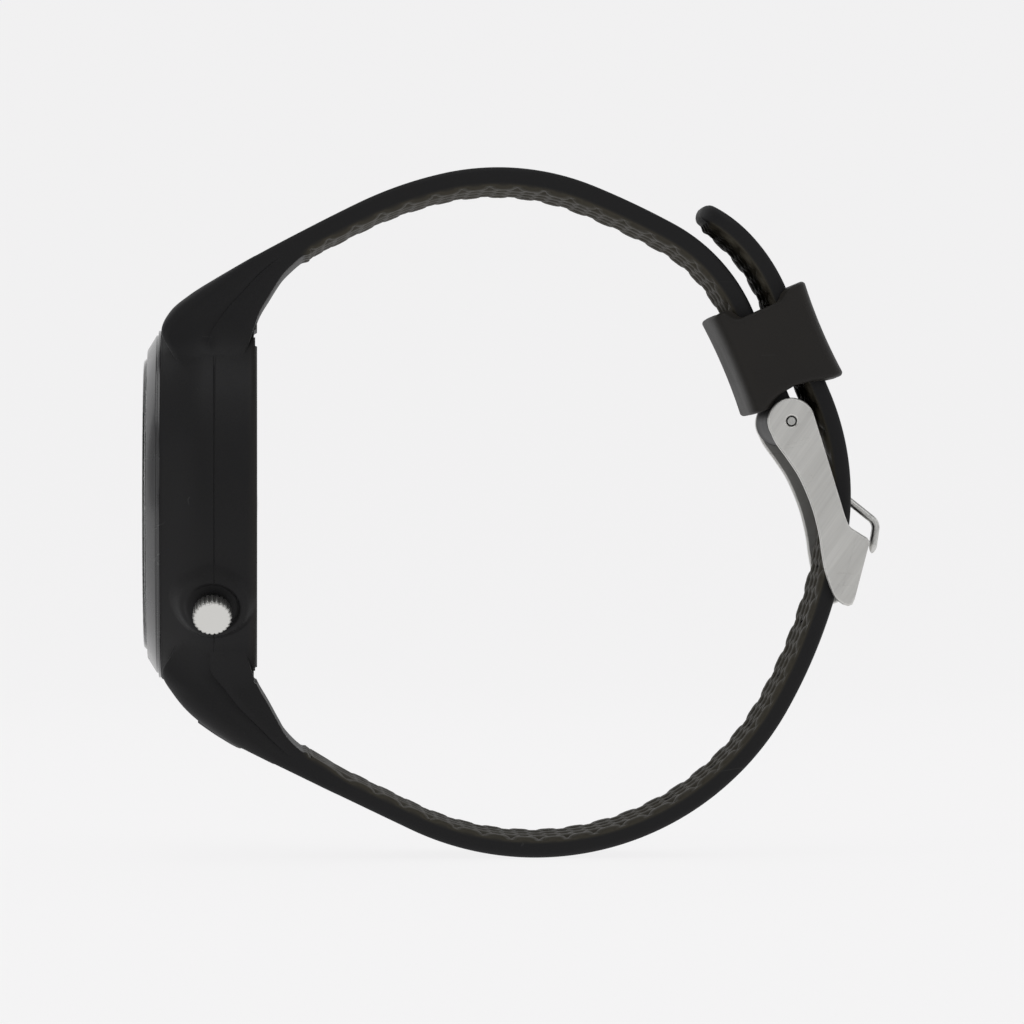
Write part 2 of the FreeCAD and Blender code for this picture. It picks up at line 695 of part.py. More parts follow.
def silicone(frame, crown, pivot):
    sleeve = turned("sleeve_blank", [
        ("back_radius", "sleeve_base"), ("sleeve_back_radius", "sleeve_base"),
        ("sleeve_radius", "sleeve_base + sleeve_round"), ("sleeve_radius", "sleeve_shoulder"),
        ("sleeve_upper_radius", "sleeve_upper"), ("sleeve_front_radius", "sleeve_front"),
        ("sleeve_lip_radius", "case_top"), ("case_radius", "case_top"), ("case_radius", "back_inner"),
        ("back_radius", "back_inner")], frame)
    half = value("root_half")
    narrow = value("end_half")

    upper = ribbon("upper_strip", UPPER_START, UPPER_HEADING, UPPER_RUNS, -value("strap_thick"), half)
    lower = ribbon("lower_strip", LOWER_START, LOWER_HEADING, LOWER_RUNS, value("tail_thick"), half)
    joint, heading = trace(LOWER_START, LOWER_HEADING, LOWER_RUNS, 0)[1:]
    tail = ribbon("tail_strip", (joint.y, joint.z), heading, TAIL_RUNS, value("tail_thick"), narrow)
    tip = Part.Vertex(trace((joint.y, joint.z), heading, TAIL_RUNS, 0)[1])
    corners = [i for i, edge in enumerate(tail.Shape.Edges, 1)
               if edge.Length < 2 * value("tail_thick") and edge.distToShape(tip)[0] < narrow + 0.1]
    rounded = doc.addObject("Part::Fillet", "tail_rounded")
    rounded.Base = tail
    rounded.Edges = [(i, value("tail_corner"), value("tail_corner")) for i in corners]

    # the upper half ends in the spring bar's boss
    boss = cylinder("bar_boss", "boss_end_radius", "end_half + end_half", pivot, z=str(-narrow))

    root_top = slab("root_top", ROOT_TOP, half)
    root_low = slab("root_low", ROOT_LOW, half)
    plan = doc.addObject("PartDesign::Body", "plan_form")
    outline = sketch(plan, "plan_outline", "XY_Plane", [
        ("0 - root_half", "0 - 45"), ("root_half", "0 - 45"), ("root_half", "taper_start"),
        ("end_half", "taper_end"), ("end_half", "45"), ("0 - end_half", "45"),
        ("0 - end_half", "taper_end"), ("0 - root_half", "taper_start")])
    pad = plan.newObject("PartDesign::Pad", "plan_pad")
    pad.Profile = outline
    pad.Length = 100                # taller than the whole band
    pad.Midplane = True
    straps = doc.addObject("Part::Common", "straps")
    straps.Base = fused("strap_blank", [upper, lower, root_top, root_low])
    straps.Tool = plan

    guard = cylinder("crown_guard", "guard_radius", "guard_end - case_radius", crown, z="case_radius")
    patch = block("pad_block", ("pad_width", "pad_length", "pad_proud + pad_depth"),
                  (-value("pad_width") / 2, 0, 0), Placement())
    lean = math.radians(LOWER_HEADING)
    patch.Placement = Placement(
        Vector(-value("pad_width") / 2,
               LOWER_START[0] - value("pad_depth") * math.sin(lean) - value("pad_lead"),
               LOWER_START[1] + value("pad_depth") * math.cos(lean)),
        Rotation(X_AXIS, LOWER_HEADING)).multiply(
        Placement(Vector(0, 0, -value("pad_proud + pad_depth")), Rotation()))
    whole = fused("band_blank", [sleeve, straps, rounded, boss, guard, patch])

    hollow = cut("band_hollow", whole, [turned("case_cavity", [
        ("0", "sleeve_base - 1"), ("back_radius", "sleeve_base - 1"), ("back_radius", "back_inner"),
        ("case_radius", "back_inner"), ("case_radius", "case_top + 1"), ("0", "case_top + 1")], frame)])
    dished = cut("band_dished", hollow, [
        cylinder("crown_dish", "recess_radius", "guard_end - recess_floor + 1", crown, z="recess_floor"),
        cylinder("tube_bore_hole", "tube_radius", "guard_radius + guard_radius", crown,
                 z="case_radius - 1")])
    mouth = feature("tang_mouth", Part.makeBox(
        value("boss_end_radius") + 1, value("tang_slot_radius") + value("tang_thick") / 2,
        2 * value("tang_slot_half"),
        Vector(0, -value("tang_thick") / 2, -value("tang_slot_half"))),
        pivot.multiply(Placement(Vector(), Rotation(Vector(0, 0, 1), value("tang_angle")))))
    bored = cut("band_bored", dished, [
        cylinder("bar_bore", "bar_hole", "end_half + end_half + 2", pivot, z=str(-narrow - 1)),
        cylinder("tang_nest", "tang_slot_radius", "tang_slot_half + tang_slot_half", pivot,
                 z=str(-value("tang_slot_half"))),
        mouth])
    node("silicone_band", cut("band_cut", bored, tail_holes(pivot)))


def tail_holes(pivot):
    """Slots through the tail half at an even pitch; the tang goes through the one at step 0."""
    before = sum(length for length, turn in LOWER_RUNS)
    chain = LOWER_RUNS + TAIL_RUNS
    engaged = before + TAIL_RUNS[0][0] + value("tang_hole_at")
    slots = []
    for step in TAIL_HOLE_STEPS:
        left = engaged + step * value("hole_pitch")
        point, angle = Vector(0, *LOWER_START), LOWER_HEADING
        for length, turn in chain:
            used = min(left, length)
            _, point, angle = trace((point.y, point.z), angle, [(used, turn * used / length)], 0)
            left -= used
            if left <= 0:
                break
        if step == 0:
            across = value("hole_width + engaged_side + engaged_side")
            slot = feature("hole_engaged", Part.makeBox(
                value("engaged_length"), value("tang_thick + tang_clearance"), across,
                Vector(value("tang_reach - engaged_lead"),
                       -value("tang_thick") / 2 - value("engaged_low"), -across / 2)),
                pivot.multiply(Placement(Vector(), Rotation(Vector(0, 0, 1), value("tang_angle")))))
        else:
            slot = feature("hole_%d" % (step + 10), Part.makeBox(
                value("hole_width"), value("hole_length"), 3 * value("tail_thick"),
                Vector(-value("hole_width") / 2, -value("hole_length") / 2, -1.5 * value("tail_thick"))),
                Placement(point, Rotation(X_AXIS, angle)))
        slots.append(slot)
    return slots


# ---------------------------------------------------------------- keeper, spring bar and buckle

def keeper(end):
    loop = block("keeper_blank", ("keeper_half + keeper_half", "keeper_outer - keeper_inner",
                                  "keeper_length"),
                 (-value("keeper_half"), value("keeper_inner"), value("keeper_low")), end)
    soft = doc.addObject("Part::Fillet", "keeper_soft")
    soft.Base = loop
    doc.recompute()
    axis = end.Rotation.multVec(Vector(0, 0, 1))
    round_by = value("keeper_round")
    soft.Edges = [(i, round_by, round_by) for i, edge in enumerate(loop.Shape.Edges, 1)
                  if abs(edge.tangentAt(edge.FirstParameter).dot(axis)) > 0.99]
    window = block("keeper_window", ("keeper_bore_half + keeper_bore_half",
                                     "keeper_bore_outer - keeper_bore_inner", "keeper_length + 2"),
                   (-value("keeper_bore_half"), value("keeper_bore_inner"), value("keeper_low - 1")), end)
    node("strap_keeper", cut("keeper_cut", soft, [window]))


def spring_bar(pivot):
    middle = value("bar_tube_half")
    barrel = cylinder("bar_barrel", "bar_tube_radius", "bar_tube_half + bar_tube_half", pivot,
                      z=str(-middle))
    hollow = cylinder("bar_hollow", "bar_tube_bore", "bar_tube_half + bar_tube_half", pivot,
                      z=str(-middle))
    node("spring_bar_tube", cut("bar_tube_cut", barrel, [hollow]))
    tips = []
    for side in (-1, 1):
        turn = pivot.multiply(Placement(Vector(), Rotation(Y_AXIS, 90 - 90 * side)))
        inner = cylinder("pin_body_%d" % (side + 1), "bar_pin_body", "bar_tube_half - bar_pin_inner",
                         turn, z="bar_pin_inner")
        outer = cylinder("pin_tip_%d" % (side + 1), "bar_pin_radius", "bar_pin_outer - bar_tube_half",
                         turn, z="bar_tube_half")
        tips.append(fused("pin_%d" % (side + 1), [inner, outer]))
    node("spring_bar_pins", fused("pin_pair", tips))
    seat = pivot.multiply(Placement(Vector(0, 0, -value("bar_spring_span") / 2), Rotation()))
    node("spring_bar_spring", coil("bar_coil", "bar_spring_radius", "bar_spring_wire", "bar_spring_pitch",
                                   "bar_spring_span", seat))


# Corner points of the buckle's side plate in the YZ plane, down the outer edge and back up the inner one.
PLATE_OUTER = [(31.80, 10.35), (35.15, -0.30), (36.0, -1.75), (37.72, -2.95)]
PLATE_LOW = [(36.00, -9.45), (35.45, -9.98), (34.75, -9.75)]
PLATE_INNER = [(33.80, -8.70), (32.75, -4.90), (32.35, -2.60), (30.95, 1.90), (29.85, 4.10),
               (28.60, 5.90), (27.30, 8.20)]
# The tang past its straight reach: a dip through the hole, then the curl over the front bar.
TANG_RUNS = [(0.8, 14.0), (4.15, 0.0), (1.3, -60.0), (2.6, 0.0)]


def buckle(pivot):
    plates = []
    thick = value("plate_outer - plate_inner")
    for side in (-1, 1):
        low = value("plate_inner") if side > 0 else -value("plate_outer")
        corners = [Vector(low, y, z) for y, z in PLATE_OUTER + PLATE_LOW + PLATE_INNER]
        plate = Part.Face(Part.makePolygon(corners + corners[:1])).extrude(Vector(thick, 0, 0))
        plates.append(feature("plate_%d" % (side + 1), plate))
        plates.append(cylinder("plate_head_%d" % (side + 1), "plate_head", "plate_outer - plate_inner",
                               pivot, z=str(low)))
    front = Vector(0, PLATE_LOW[0][0] - PLATE_OUTER[-1][0], PLATE_LOW[0][1] - PLATE_OUTER[-1][1])
    inward = Vector(0, front.z, -front.y).normalize() * value("bar_thick")
    top = Vector(-value("plate_outer"), *PLATE_OUTER[-1])
    low = Vector(-value("plate_outer"), *PLATE_LOW[0])
    bar = Part.Face(Part.makePolygon([top, low, low + inward, top + inward, top])).extrude(
        Vector(2 * value("plate_outer"), 0, 0))
    plates.append(feature("front_bar", bar))
    holes = cylinder("bar_pin_hole", "plate_hole", "plate_outer + plate_outer", pivot,
                     z=str(-value("plate_outer")))
    node("buckle_frame", cut("buckle_cut", fused("buckle_blank", plates), [holes]))

    eye = cylinder("tang_eye", "tang_eye_radius", "tang_half + tang_half", pivot,
                   z=str(-value("tang_half")))
    pose = value("tang_angle")
    thick = value("tang_thick")
    side = Vector(0, -math.sin(math.radians(pose)), math.cos(math.radians(pose))) * (thick / 2)
    start = pivot.Base - side
    runs = [(value("tang_reach"), 0.0)] + TANG_RUNS
    arm = ribbon("tang_arm", (start.y, start.z), pose, runs, thick, value("tang_half"))
    hole = cylinder("tang_eye_hole", "tang_eye_bore", "tang_half + tang_half", pivot,
                    z=str(-value("tang_half")))
    node("buckle_tang", cut("tang_cut", fused("tang_blank", [eye, arm]), [hole]))


# ---------------------------------------------------------------- build, check and export

front_of_case(case_frame())
electronics(case_frame())
housing(case_frame(), crown_frame())
crown_set(crown_frame())
silicone(case_frame(), crown_frame(), pivot_frame())
keeper(end_frame())
spring_bar(pivot_frame())
buckle(pivot_frame())
doc.recompute()

for thing in doc.Objects:
    if "Invalid" in thing.State or "Error" in thing.State:
        raise RuntimeError("%s failed: %s" % (thing.Name, thing.State))

os.makedirs("parts", exist_ok=True)
for name, thing in NODES:
    shape = thing.Shape
    if shape.isNull() or not shape.isValid() or not shape.Solids:
        raise RuntimeError("%s has no valid solid" % name)
    box = shape.BoundBox
    print("%-18s solids %2d volume %9.2f  x %6.2f..%6.2f  y %6.2f..%6.2f  z %6.2f..%6.2f" % (
        name, len(shape.Solids), shape.Volume, box.XMin, box.XMax, box.YMin, box.YMax, box.ZMin, box.ZMax))
    shape.exportStep("parts/%s.step" % name)
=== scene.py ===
import math

import bmesh
import bpy
import numpy as np
from mathutils import Matrix, Vector


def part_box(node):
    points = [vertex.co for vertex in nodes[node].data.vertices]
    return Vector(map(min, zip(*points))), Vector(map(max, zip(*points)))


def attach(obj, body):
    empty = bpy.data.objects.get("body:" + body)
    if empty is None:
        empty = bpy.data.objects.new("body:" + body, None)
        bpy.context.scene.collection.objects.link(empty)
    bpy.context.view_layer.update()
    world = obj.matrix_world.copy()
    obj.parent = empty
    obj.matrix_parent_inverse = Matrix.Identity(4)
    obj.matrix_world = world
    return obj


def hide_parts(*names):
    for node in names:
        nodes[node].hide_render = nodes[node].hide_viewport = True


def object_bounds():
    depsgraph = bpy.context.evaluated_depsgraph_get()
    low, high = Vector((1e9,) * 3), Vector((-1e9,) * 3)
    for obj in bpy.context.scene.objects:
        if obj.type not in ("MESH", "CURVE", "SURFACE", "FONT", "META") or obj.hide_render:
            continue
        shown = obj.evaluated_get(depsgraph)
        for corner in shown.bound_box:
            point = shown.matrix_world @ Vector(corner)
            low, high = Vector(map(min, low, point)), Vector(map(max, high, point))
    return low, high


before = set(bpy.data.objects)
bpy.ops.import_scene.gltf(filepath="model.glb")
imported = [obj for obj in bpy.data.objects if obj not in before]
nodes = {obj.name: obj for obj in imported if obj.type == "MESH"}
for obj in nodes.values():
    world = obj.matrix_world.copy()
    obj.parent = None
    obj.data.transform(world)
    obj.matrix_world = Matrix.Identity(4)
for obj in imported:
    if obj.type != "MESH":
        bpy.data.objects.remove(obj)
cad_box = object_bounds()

# ---- Silicone sleeve ------------------------------------------------------------------------------
# The band is one moulding of matte black silicone. Its sleeve is the ring that the tracker's module
# is pressed into: open at the back, lipped round the bezel, with a scooped guard round the crown.

MM = 0.001
CASE_RISE = (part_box("lens")[0][2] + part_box("lens")[1][2]) / 2 / MM      # case axis above the origin
CROWN_TILT = math.radians(30)                                           # crown axis below 3 o'clock
CROWN_LEVEL = 32.1                                                      # crown axis, towards the face
CROWN_FOOT = np.array([0, -CROWN_LEVEL, CASE_RISE])
CROWN_AXIS = np.array([math.cos(CROWN_TILT), 0, -math.sin(CROWN_TILT)])


def ramp(low, high, value):
    """0 below low, 1 above high, and a smooth cubic between them; high may be the smaller one."""
    t = np.clip((value - low) / (high - low), 0, 1)
    return t * t * (3 - 2 * t)


def flow(knots, values, at):
    """A smooth curve through values at the knots: cubic pieces whose slope at a knot is the mean slope
    of its neighbours."""
    knots, values = np.asarray(knots, float), np.asarray(values, float)
    slopes = np.gradient(values, knots, axis=0)
    i = np.clip(np.searchsorted(knots, at, side="right") - 1, 0, len(knots) - 2)
    width = knots[i + 1] - knots[i]
    t = np.clip((at - knots[i]) / width, 0, 1)
    if values.ndim > 1:
        t, width = t[:, None], width[:, None]
    return ((1 + 2 * t) * (1 - t) ** 2 * values[i] + t * (1 - t) ** 2 * width * slopes[i]
            + t * t * (3 - 2 * t) * values[i + 1] - t * t * (1 - t) * width * slopes[i + 1])


def quads(rows, columns, ring_rows=False, ring_columns=True):
    """Four-cornered faces of a grid numbered row by row; a ring's last line is joined to its first."""
    r, c = np.meshgrid(np.arange(rows if ring_rows else rows - 1),
                       np.arange(columns if ring_columns else columns - 1), indexing="ij")
    below, beside = (r + 1) % rows, (c + 1) % columns
    corners = [r * columns + c, r * columns + beside, below * columns + beside, below * columns + c]
    return np.stack(corners, axis=-1).reshape(-1, 4).tolist()


def tube(rows, columns):
    """Faces of a closed tube: a grid whose columns form a ring, with a face over each end."""
    return quads(rows, columns) + [list(range(columns)), list(range((rows - 1) * columns, rows * columns))]


def slab(count):
    """Faces of an outline pushed through: both flat sides, then the rim."""
    return [list(range(count))[::-1], list(range(count, 2 * count))] + quads(2, count)


def spindle(turns, count):
    """Faces of a turned solid whose open profile starts and ends by the axis."""
    ends = [[i * count + k for i in range(turns)] for k in (0, count - 1)]
    return quads(turns, count, ring_rows=True, ring_columns=False) + ends


def linked(name, data):
    """A new object in the scene, at the origin."""
    made = bpy.data.objects.new(name, data)
    bpy.context.scene.collection.objects.link(made)
    return made


def piece(name, points, faces, body, replaced=(), smooth=True):
    """A finished closed piece from points in millimetres, turned outwards, riding on its body."""
    mesh = bpy.data.meshes.new(name)
    mesh.from_pydata((np.asarray(points, float) * MM).tolist(), [], faces)
    mesh.validate()
    made = linked(name, mesh)
    outwards(mesh)
    mesh.shade_smooth() if smooth else mesh.shade_flat()
    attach(made, body)
    if replaced:
        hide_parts(*replaced)
    return made


def outwards(mesh):
    """Turns the faces of a closed mesh outwards."""
    work = bmesh.new()
    work.from_mesh(mesh)
    bmesh.ops.remove_doubles(work, verts=work.verts, dist=1e-7)
    bmesh.ops.recalc_face_normals(work, faces=work.faces)
    work.to_mesh(mesh)
    work.free()


def around(profile, angles):
    """Points of a turned shape: profile is (radius, height) pairs, and height runs out of the dial along
    the case axis. Point = axis + radius (cos, sin) in X and Z, at Y = -height."""
    radius, height = np.asarray(profile, float).T
    a = np.asarray(angles)[:, None]
    x = radius * np.cos(a)
    z = radius * np.sin(a) + CASE_RISE
    return np.stack([x, np.broadcast_to(-height, x.shape), z], axis=-1)


SLEEVE_BACK = 27.4
SLEEVE_FRONT = 37.6
SLEEVE_RADIUS = 20.9
BACK_ROUND = 0.7                # of the outer back edge
PARTING_LEVEL = 31.9            # the mould's parting line round the sleeve
PARTING_DEPTH = 0.1
SHOULDER_FALL = 2.77
GUARD_RISE = 1.2
SCOOP_RADIUS = 2.75
SCOOP_FLOOR = 21.6


def wall_radius(level):
    """Outer wall: full radius, then an eased shoulder that falls to the lip at the bezel."""
    return SLEEVE_RADIUS - SHOULDER_FALL * ramp(32.0, 39.6, level) ** 1.25


level = np.sort(np.concatenate([np.linspace(SLEEVE_BACK + BACK_ROUND, 37.45, 74),
                                PARTING_LEVEL + np.array([-.16, -.08, 0, .08, .16])]))
wall = wall_radius(level)
wall -= PARTING_DEPTH * (1 - ramp(0.02, 0.1, abs(level - PARTING_LEVEL)))
turn = np.linspace(0, math.pi / 2, 7)[:-1]
back_round = np.stack([SLEEVE_RADIUS - BACK_ROUND + BACK_ROUND * np.sin(turn),
                       SLEEVE_BACK + BACK_ROUND - BACK_ROUND * np.cos(turn)], axis=-1)
lip = np.stack([wall[-1] - 0.15 + 0.15 * np.cos(turn), 37.45 + 0.15 * np.sin(turn)], axis=-1)
profile = np.concatenate([
    [(17.9, SLEEVE_BACK + 0.9), (17.9, SLEEVE_BACK + 0.15), (17.97, SLEEVE_BACK + 0.03), (18.1, SLEEVE_BACK),
     (19.2, SLEEVE_BACK)],
    back_round, np.stack([wall, level], axis=-1), lip[1:],
    [(18.7, SLEEVE_FRONT), (18.35, SLEEVE_FRONT), (18.2, 37.5), (18.2, 33.0),
     (18.2, SLEEVE_BACK + 0.9)]])
crown_at = -CROWN_TILT
near = crown_at + np.linspace(-0.27, 0.27, 110)
far = crown_at + np.linspace(0.27, 2 * math.pi - 0.27, 190)[1:-1]
angles = np.concatenate([near, far])
points = around(profile, angles)

# Crown guard: within 4.6 mm of the crown's axis the wall swells outwards along it, and a round scoop
# is sunk into the swelling for the crown to stand in.
reach = points - CROWN_FOOT
along = reach @ CROWN_AXIS
off_axis = np.linalg.norm(reach - along[..., None] * CROWN_AXIS, axis=-1)
outer = (np.arange(len(profile)) > 4) & (np.arange(len(profile)) < len(profile) - 5)
swell = GUARD_RISE * ramp(4.6, 3.3, off_axis)
sunk = (SCOOP_FLOOR - along - swell) * ramp(SCOOP_RADIUS + 0.25, SCOOP_RADIUS - 0.1, off_axis)
target = np.where(off_axis < SCOOP_RADIUS + 0.25, along + swell + sunk, along + swell)
shift = np.where(outer[None, :] & (along > 0), target - along, 0)
points = points + shift[..., None] * CROWN_AXIS

sleeve = piece("band_sleeve", points.reshape(-1, 3), quads(len(angles), len(profile), ring_rows=True),
               "band", ["silicone_band"])


def tint(target, amount):
    """Stores a 0 to 1 value at every point: how much painted light, showing through the silicone, it gets where
    the silicone is thin or faces the wrist.
    """
    layer = target.data.attributes.new("glow_through", "FLOAT", "POINT")
    layer.data.foreach_set("value", np.asarray(amount, np.float32).ravel())


place = np.empty(len(sleeve.data.vertices) * 3)
sleeve.data.vertices.foreach_get("co", place)
# Painted light: the thin back rim of the sleeve is painted olive-brown, as light showing through it.
tint(sleeve, 0.2 * ramp(SLEEVE_BACK + 1.2, SLEEVE_BACK + 0.1, -place.reshape(-1, 3)[:, 1] / MM))


def group(name, inputs, outputs):
    """An empty shader group with float inputs (name, default) and named outputs."""
    tree = bpy.data.node_groups.new(name, "ShaderNodeTree")
    tree.interface.new_socket("Position", in_out="INPUT", socket_type="NodeSocketVector")
    for label, default in inputs:
        socket = tree.interface.new_socket(label, in_out="INPUT", socket_type="NodeSocketFloat")
        socket.default_value = default
    for label in outputs:
        tree.interface.new_socket(label, in_out="OUTPUT", socket_type="NodeSocketFloat")
    return tree, tree.nodes.new("NodeGroupInput"), tree.nodes.new("NodeGroupOutput")


def feed(tree, node, **inputs):
    """Links or sets a node's inputs, by name with underscores for spaces, or by number as i0, i1, ..."""
    for key, source in inputs.items():
        numbered = key[0] == "i" and key[1:].isdigit()
        socket = node.inputs[int(key[1:]) if numbered else key.replace("_", " ")]
        if isinstance(source, bpy.types.NodeSocket):
            tree.links.new(source, socket)
        else:
            socket.default_value = source


def add(tree, kind, settings=(), **inputs):
    """A node with its settings made and its inputs linked or set."""
    made = tree.nodes.new("ShaderNode" + kind)
    for key, setting in dict(settings).items():
        setattr(made, key, setting)
    feed(tree, made, **inputs)
    return made


def mathed(tree, operation, *values, clamp=False):
    """The result of a Math node on the values."""
    settings = {"operation": operation, "use_clamp": clamp}
    return add(tree, "Math", settings, **{"i%d" % i: value for i, value in enumerate(values)}).outputs[0]


def times(tree, a, b):
    return mathed(tree, "MULTIPLY", a, b)


def plus(tree, a, b):
    return mathed(tree, "ADD", a, b)


def from_line(tree, a, b):
    """Distance from an axis, from the two coordinates square to it."""
    return mathed(tree, "SQRT", plus(tree, times(tree, a, a), times(tree, b, b)))


# Moulded skin: a fine even grain for bump and roughness, and slow cloudy patches where it is rubbed.
skin, skin_in, skin_out = group("moulded_skin", [("Grain", 5000.0), ("Cloud", 120.0)], ["Height", "Rub"])
grain = add(skin, "TexNoise", Vector=skin_in.outputs["Position"], Scale=skin_in.outputs["Grain"], Detail=3.0)
cloud = add(skin, "TexNoise", Vector=skin_in.outputs["Position"], Scale=skin_in.outputs["Cloud"], Detail=4.0,
            Roughness=0.6)
skin.links.new(grain.outputs["Fac"], skin_out.inputs["Height"])
skin.links.new(mathed(skin, "MULTIPLY_ADD", cloud.outputs["Fac"], 2.2, -0.6, clamp=True), skin_out.inputs["Rub"])

# Hairline scratches: thin level lines of a stretched, wandering noise, broken up by patches.
scratch, scratch_in, scratch_out = group("hairlines", [("Scale", 150.0), ("Width", 0.012), ("Cover", 0.62)],
                                         ["Mask"])
stretched = add(scratch, "Mapping", Vector=scratch_in.outputs["Position"], Scale=(1.0, 0.35, 1.6),
                Rotation=(0.6, 0.2, 0.4))
path = add(scratch, "TexNoise", Vector=stretched.outputs[0], Scale=scratch_in.outputs["Scale"], Detail=1.0)
patches = add(scratch, "TexNoise", Vector=scratch_in.outputs["Position"], Scale=scratch_in.outputs["Scale"])
from_level = mathed(scratch, "ABSOLUTE", mathed(scratch, "SUBTRACT", path.outputs["Fac"], 0.5))
line = mathed(scratch, "LESS_THAN", from_level, scratch_in.outputs["Width"])
kept = mathed(scratch, "GREATER_THAN", patches.outputs["Fac"], scratch_in.outputs["Cover"])
scratch.links.new(times(scratch, line, kept), scratch_out.inputs["Mask"])


def material(name, colour, roughness, metallic=0.0, **sockets):
    """A Principled material; the sockets that stay the same all over are set directly on it."""
    made = bpy.data.materials.new(name)
    made.use_nodes = True
    tree = made.node_tree
    shader = tree.nodes["Principled BSDF"]
    shader.inputs["Base Color"].default_value = (*colour, 1)
    shader.inputs["Roughness"].default_value = roughness
    shader.inputs["Metallic"].default_value = metallic
    for key, number in sockets.items():
        shader.inputs[key.replace("_", " ")].default_value = number
    place = tree.nodes.new("ShaderNodeTexCoord").outputs["Object"]
    return made, tree, shader, place


def use(tree, kind, place, **inputs):
    """Places a shader group with its own values."""
    made = tree.nodes.new("ShaderNodeGroup")
    made.node_tree = kind
    tree.links.new(place, made.inputs["Position"])
    for key, number in inputs.items():
        made.inputs[key].default_value = number
    return made.outputs


def between(tree, factor, low, high):
    """A value that runs from low to high as the factor runs from 0 to 1."""
    return add(tree, "MapRange", i0=factor, i3=low, i4=high).outputs[0]


def mixed(tree, factor, a, b):
    """Colour a where the factor is 0 and b where it is 1."""
    blend = add(tree, "Mix", {"data_type": "RGBA"})
    for socket, source in ((blend.inputs[0], factor), (blend.inputs[6], a), (blend.inputs[7], b)):
        if isinstance(source, bpy.types.NodeSocket):
            tree.links.new(source, socket)
        elif isinstance(source, tuple):
            socket.default_value = (*source, 1)
        else:
            socket.default_value = source
    return blend.outputs[2]


def bumped(tree, shader, height, distance, strength=1.0):
    """Feeds a height into the shader's normal; distance is the relief in metres."""
    bump = add(tree, "Bump", Height=height, Distance=distance, Strength=strength)
    tree.links.new(bump.outputs[0], shader.inputs["Normal"])


SCRATCH_GREY = (0.04, 0.04, 0.039)


def silicone(name, colour, rubbed, glow_through_colour):
    """Matte silicone: black, paler and drier where rubbed, and painted olive-brown where it is thin or faces the
    wrist, as painted light showing through it.
    """
    made, tree, shader, place = material(name, colour, 0.5, Specular_IOR_Level=0.21)
    surface = use(tree, skin, place, Grain=5200.0, Cloud=95.0)
    lines = use(tree, scratch, place, Scale=170.0, Width=0.0035, Cover=0.64)
    # Painted light: the stored amount turns the colour olive-brown in patches, standing in for light showing
    # through the silicone.
    glow_through = add(tree, "Attribute", {"attribute_name": "glow_through"}).outputs["Fac"]
    glow_through_patches = times(tree, glow_through, between(tree, surface["Rub"], 0.7, 1.0))
    base = mixed(tree, times(tree, surface["Rub"], 0.6), colour, rubbed)
    base = mixed(tree, glow_through_patches, base, glow_through_colour)
    base = mixed(tree, times(tree, lines["Mask"], 0.3), base, SCRATCH_GREY)
    feed(tree, shader, Base_Color=base, Roughness=between(tree, surface["Rub"], 0.5, 0.68))
    bumped(tree, shader, surface["Height"], 0.000018)
    return made


BAND_BLACK = silicone("band_silicone", colour=(0.0065, 0.0065, 0.0072), rubbed=(0.012, 0.0115, 0.0115),
                      glow_through_colour=(0.042, 0.037, 0.026))
sleeve.data.materials.append(BAND_BLACK)

# ---- Straps ---------------------------------------------------------------------------------------
# The two strap halves grow out of the sleeve in the same moulding. Their outside is smooth with broad
# round edges; the inside carries staggered rows of oval dimpled pads that keep it off the skin.

STRAP_HALF = 12.0
STRAP_END_HALF = 8.25
PAD_PITCH = 3.2
PAD_LENGTH = 3.0
PAD_PROUD = 0.46
PAD_COLUMNS = 3                 # on each side of the middle one
FILLET = 6.0                    # radius between a strap's side and the sleeve
END_TILT = math.radians(23)     # lean of the straight stretch under the keeper
bar_low, bar_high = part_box("spring_bar_tube")
PIVOT = np.array([(bar_low[i] + bar_high[i]) / 2 / MM for i in (1, 2)])    # Y and Z of the spring bar


def arcs(start, heading, runs, at):
    """Points and headings at arc lengths along a chain of tangent arcs. A run is (length, turn in
    degrees); within it the heading changes evenly: point = start + integral of (cos, sin) heading."""
    point, angle, begun = np.array(start, float), math.radians(heading), 0.0
    places, headings = np.zeros((len(at), 2)), np.zeros(len(at))
    for length, turn_degrees in runs:
        bend = math.radians(turn_degrees) / length
        here = at >= begun - 1e-9
        run = at[here] - begun
        turned_by = bend * run
        chord = run * np.sinc(turned_by / 2 / math.pi)
        middle = angle + turned_by / 2
        places[here] = point + np.stack([np.cos(middle), np.sin(middle)], axis=-1) * chord[:, None]
        headings[here] = angle + turned_by
        half = bend * length / 2
        chord_way = np.array([math.cos(angle + half), math.sin(angle + half)])
        point = point + chord_way * length * np.sinc(half / math.pi)
        angle, begun = angle + 2 * half, begun + length
    return places, headings


def strap_lines(root, chain, thick, end, step):
    """Outer and inner lines of a strap half at even stations: the root's knots are (station, outer Y,
    outer Z, inner Y, inner Z); past the last one the inner line is the outer one moved in by thick."""
    start, heading, runs = chain
    root = np.array(root)
    at = np.concatenate([np.arange(root[0, 0], 0, 0.3), np.arange(0, end - 0.35, step),
                         end - np.array([.3, .22, .15, .1, .06, .03, .01, 0])])

    def chained(stations):
        line, angle = arcs(start, heading, runs, stations)
        normal = np.stack([-np.sin(angle), np.cos(angle)], axis=-1)
        return line, line - normal * thick

    knots = root[:, 0]
    extra = knots[-1] + np.array([1.5, 3.0])
    inside_extra = chained(extra)[1]
    outside, inside = chained(at)
    fixed = knots <= 0
    outer_knots = np.concatenate([knots[fixed], [1.5, 3.0]])
    outer_values = np.concatenate([root[fixed, 1:3], chained(np.array([1.5, 3.0]))[0]])
    inner_knots = np.concatenate([knots, extra])
    inner_values = np.concatenate([root[:, 3:5], inside_extra])
    early = at < 1.5
    outside[early] = flow(outer_knots, outer_values, at[early])
    shaped = at < knots[-1] + 1.5
    inside[shaped] = flow(inner_knots, inner_values, at[shaped])
    return at, outside, inside


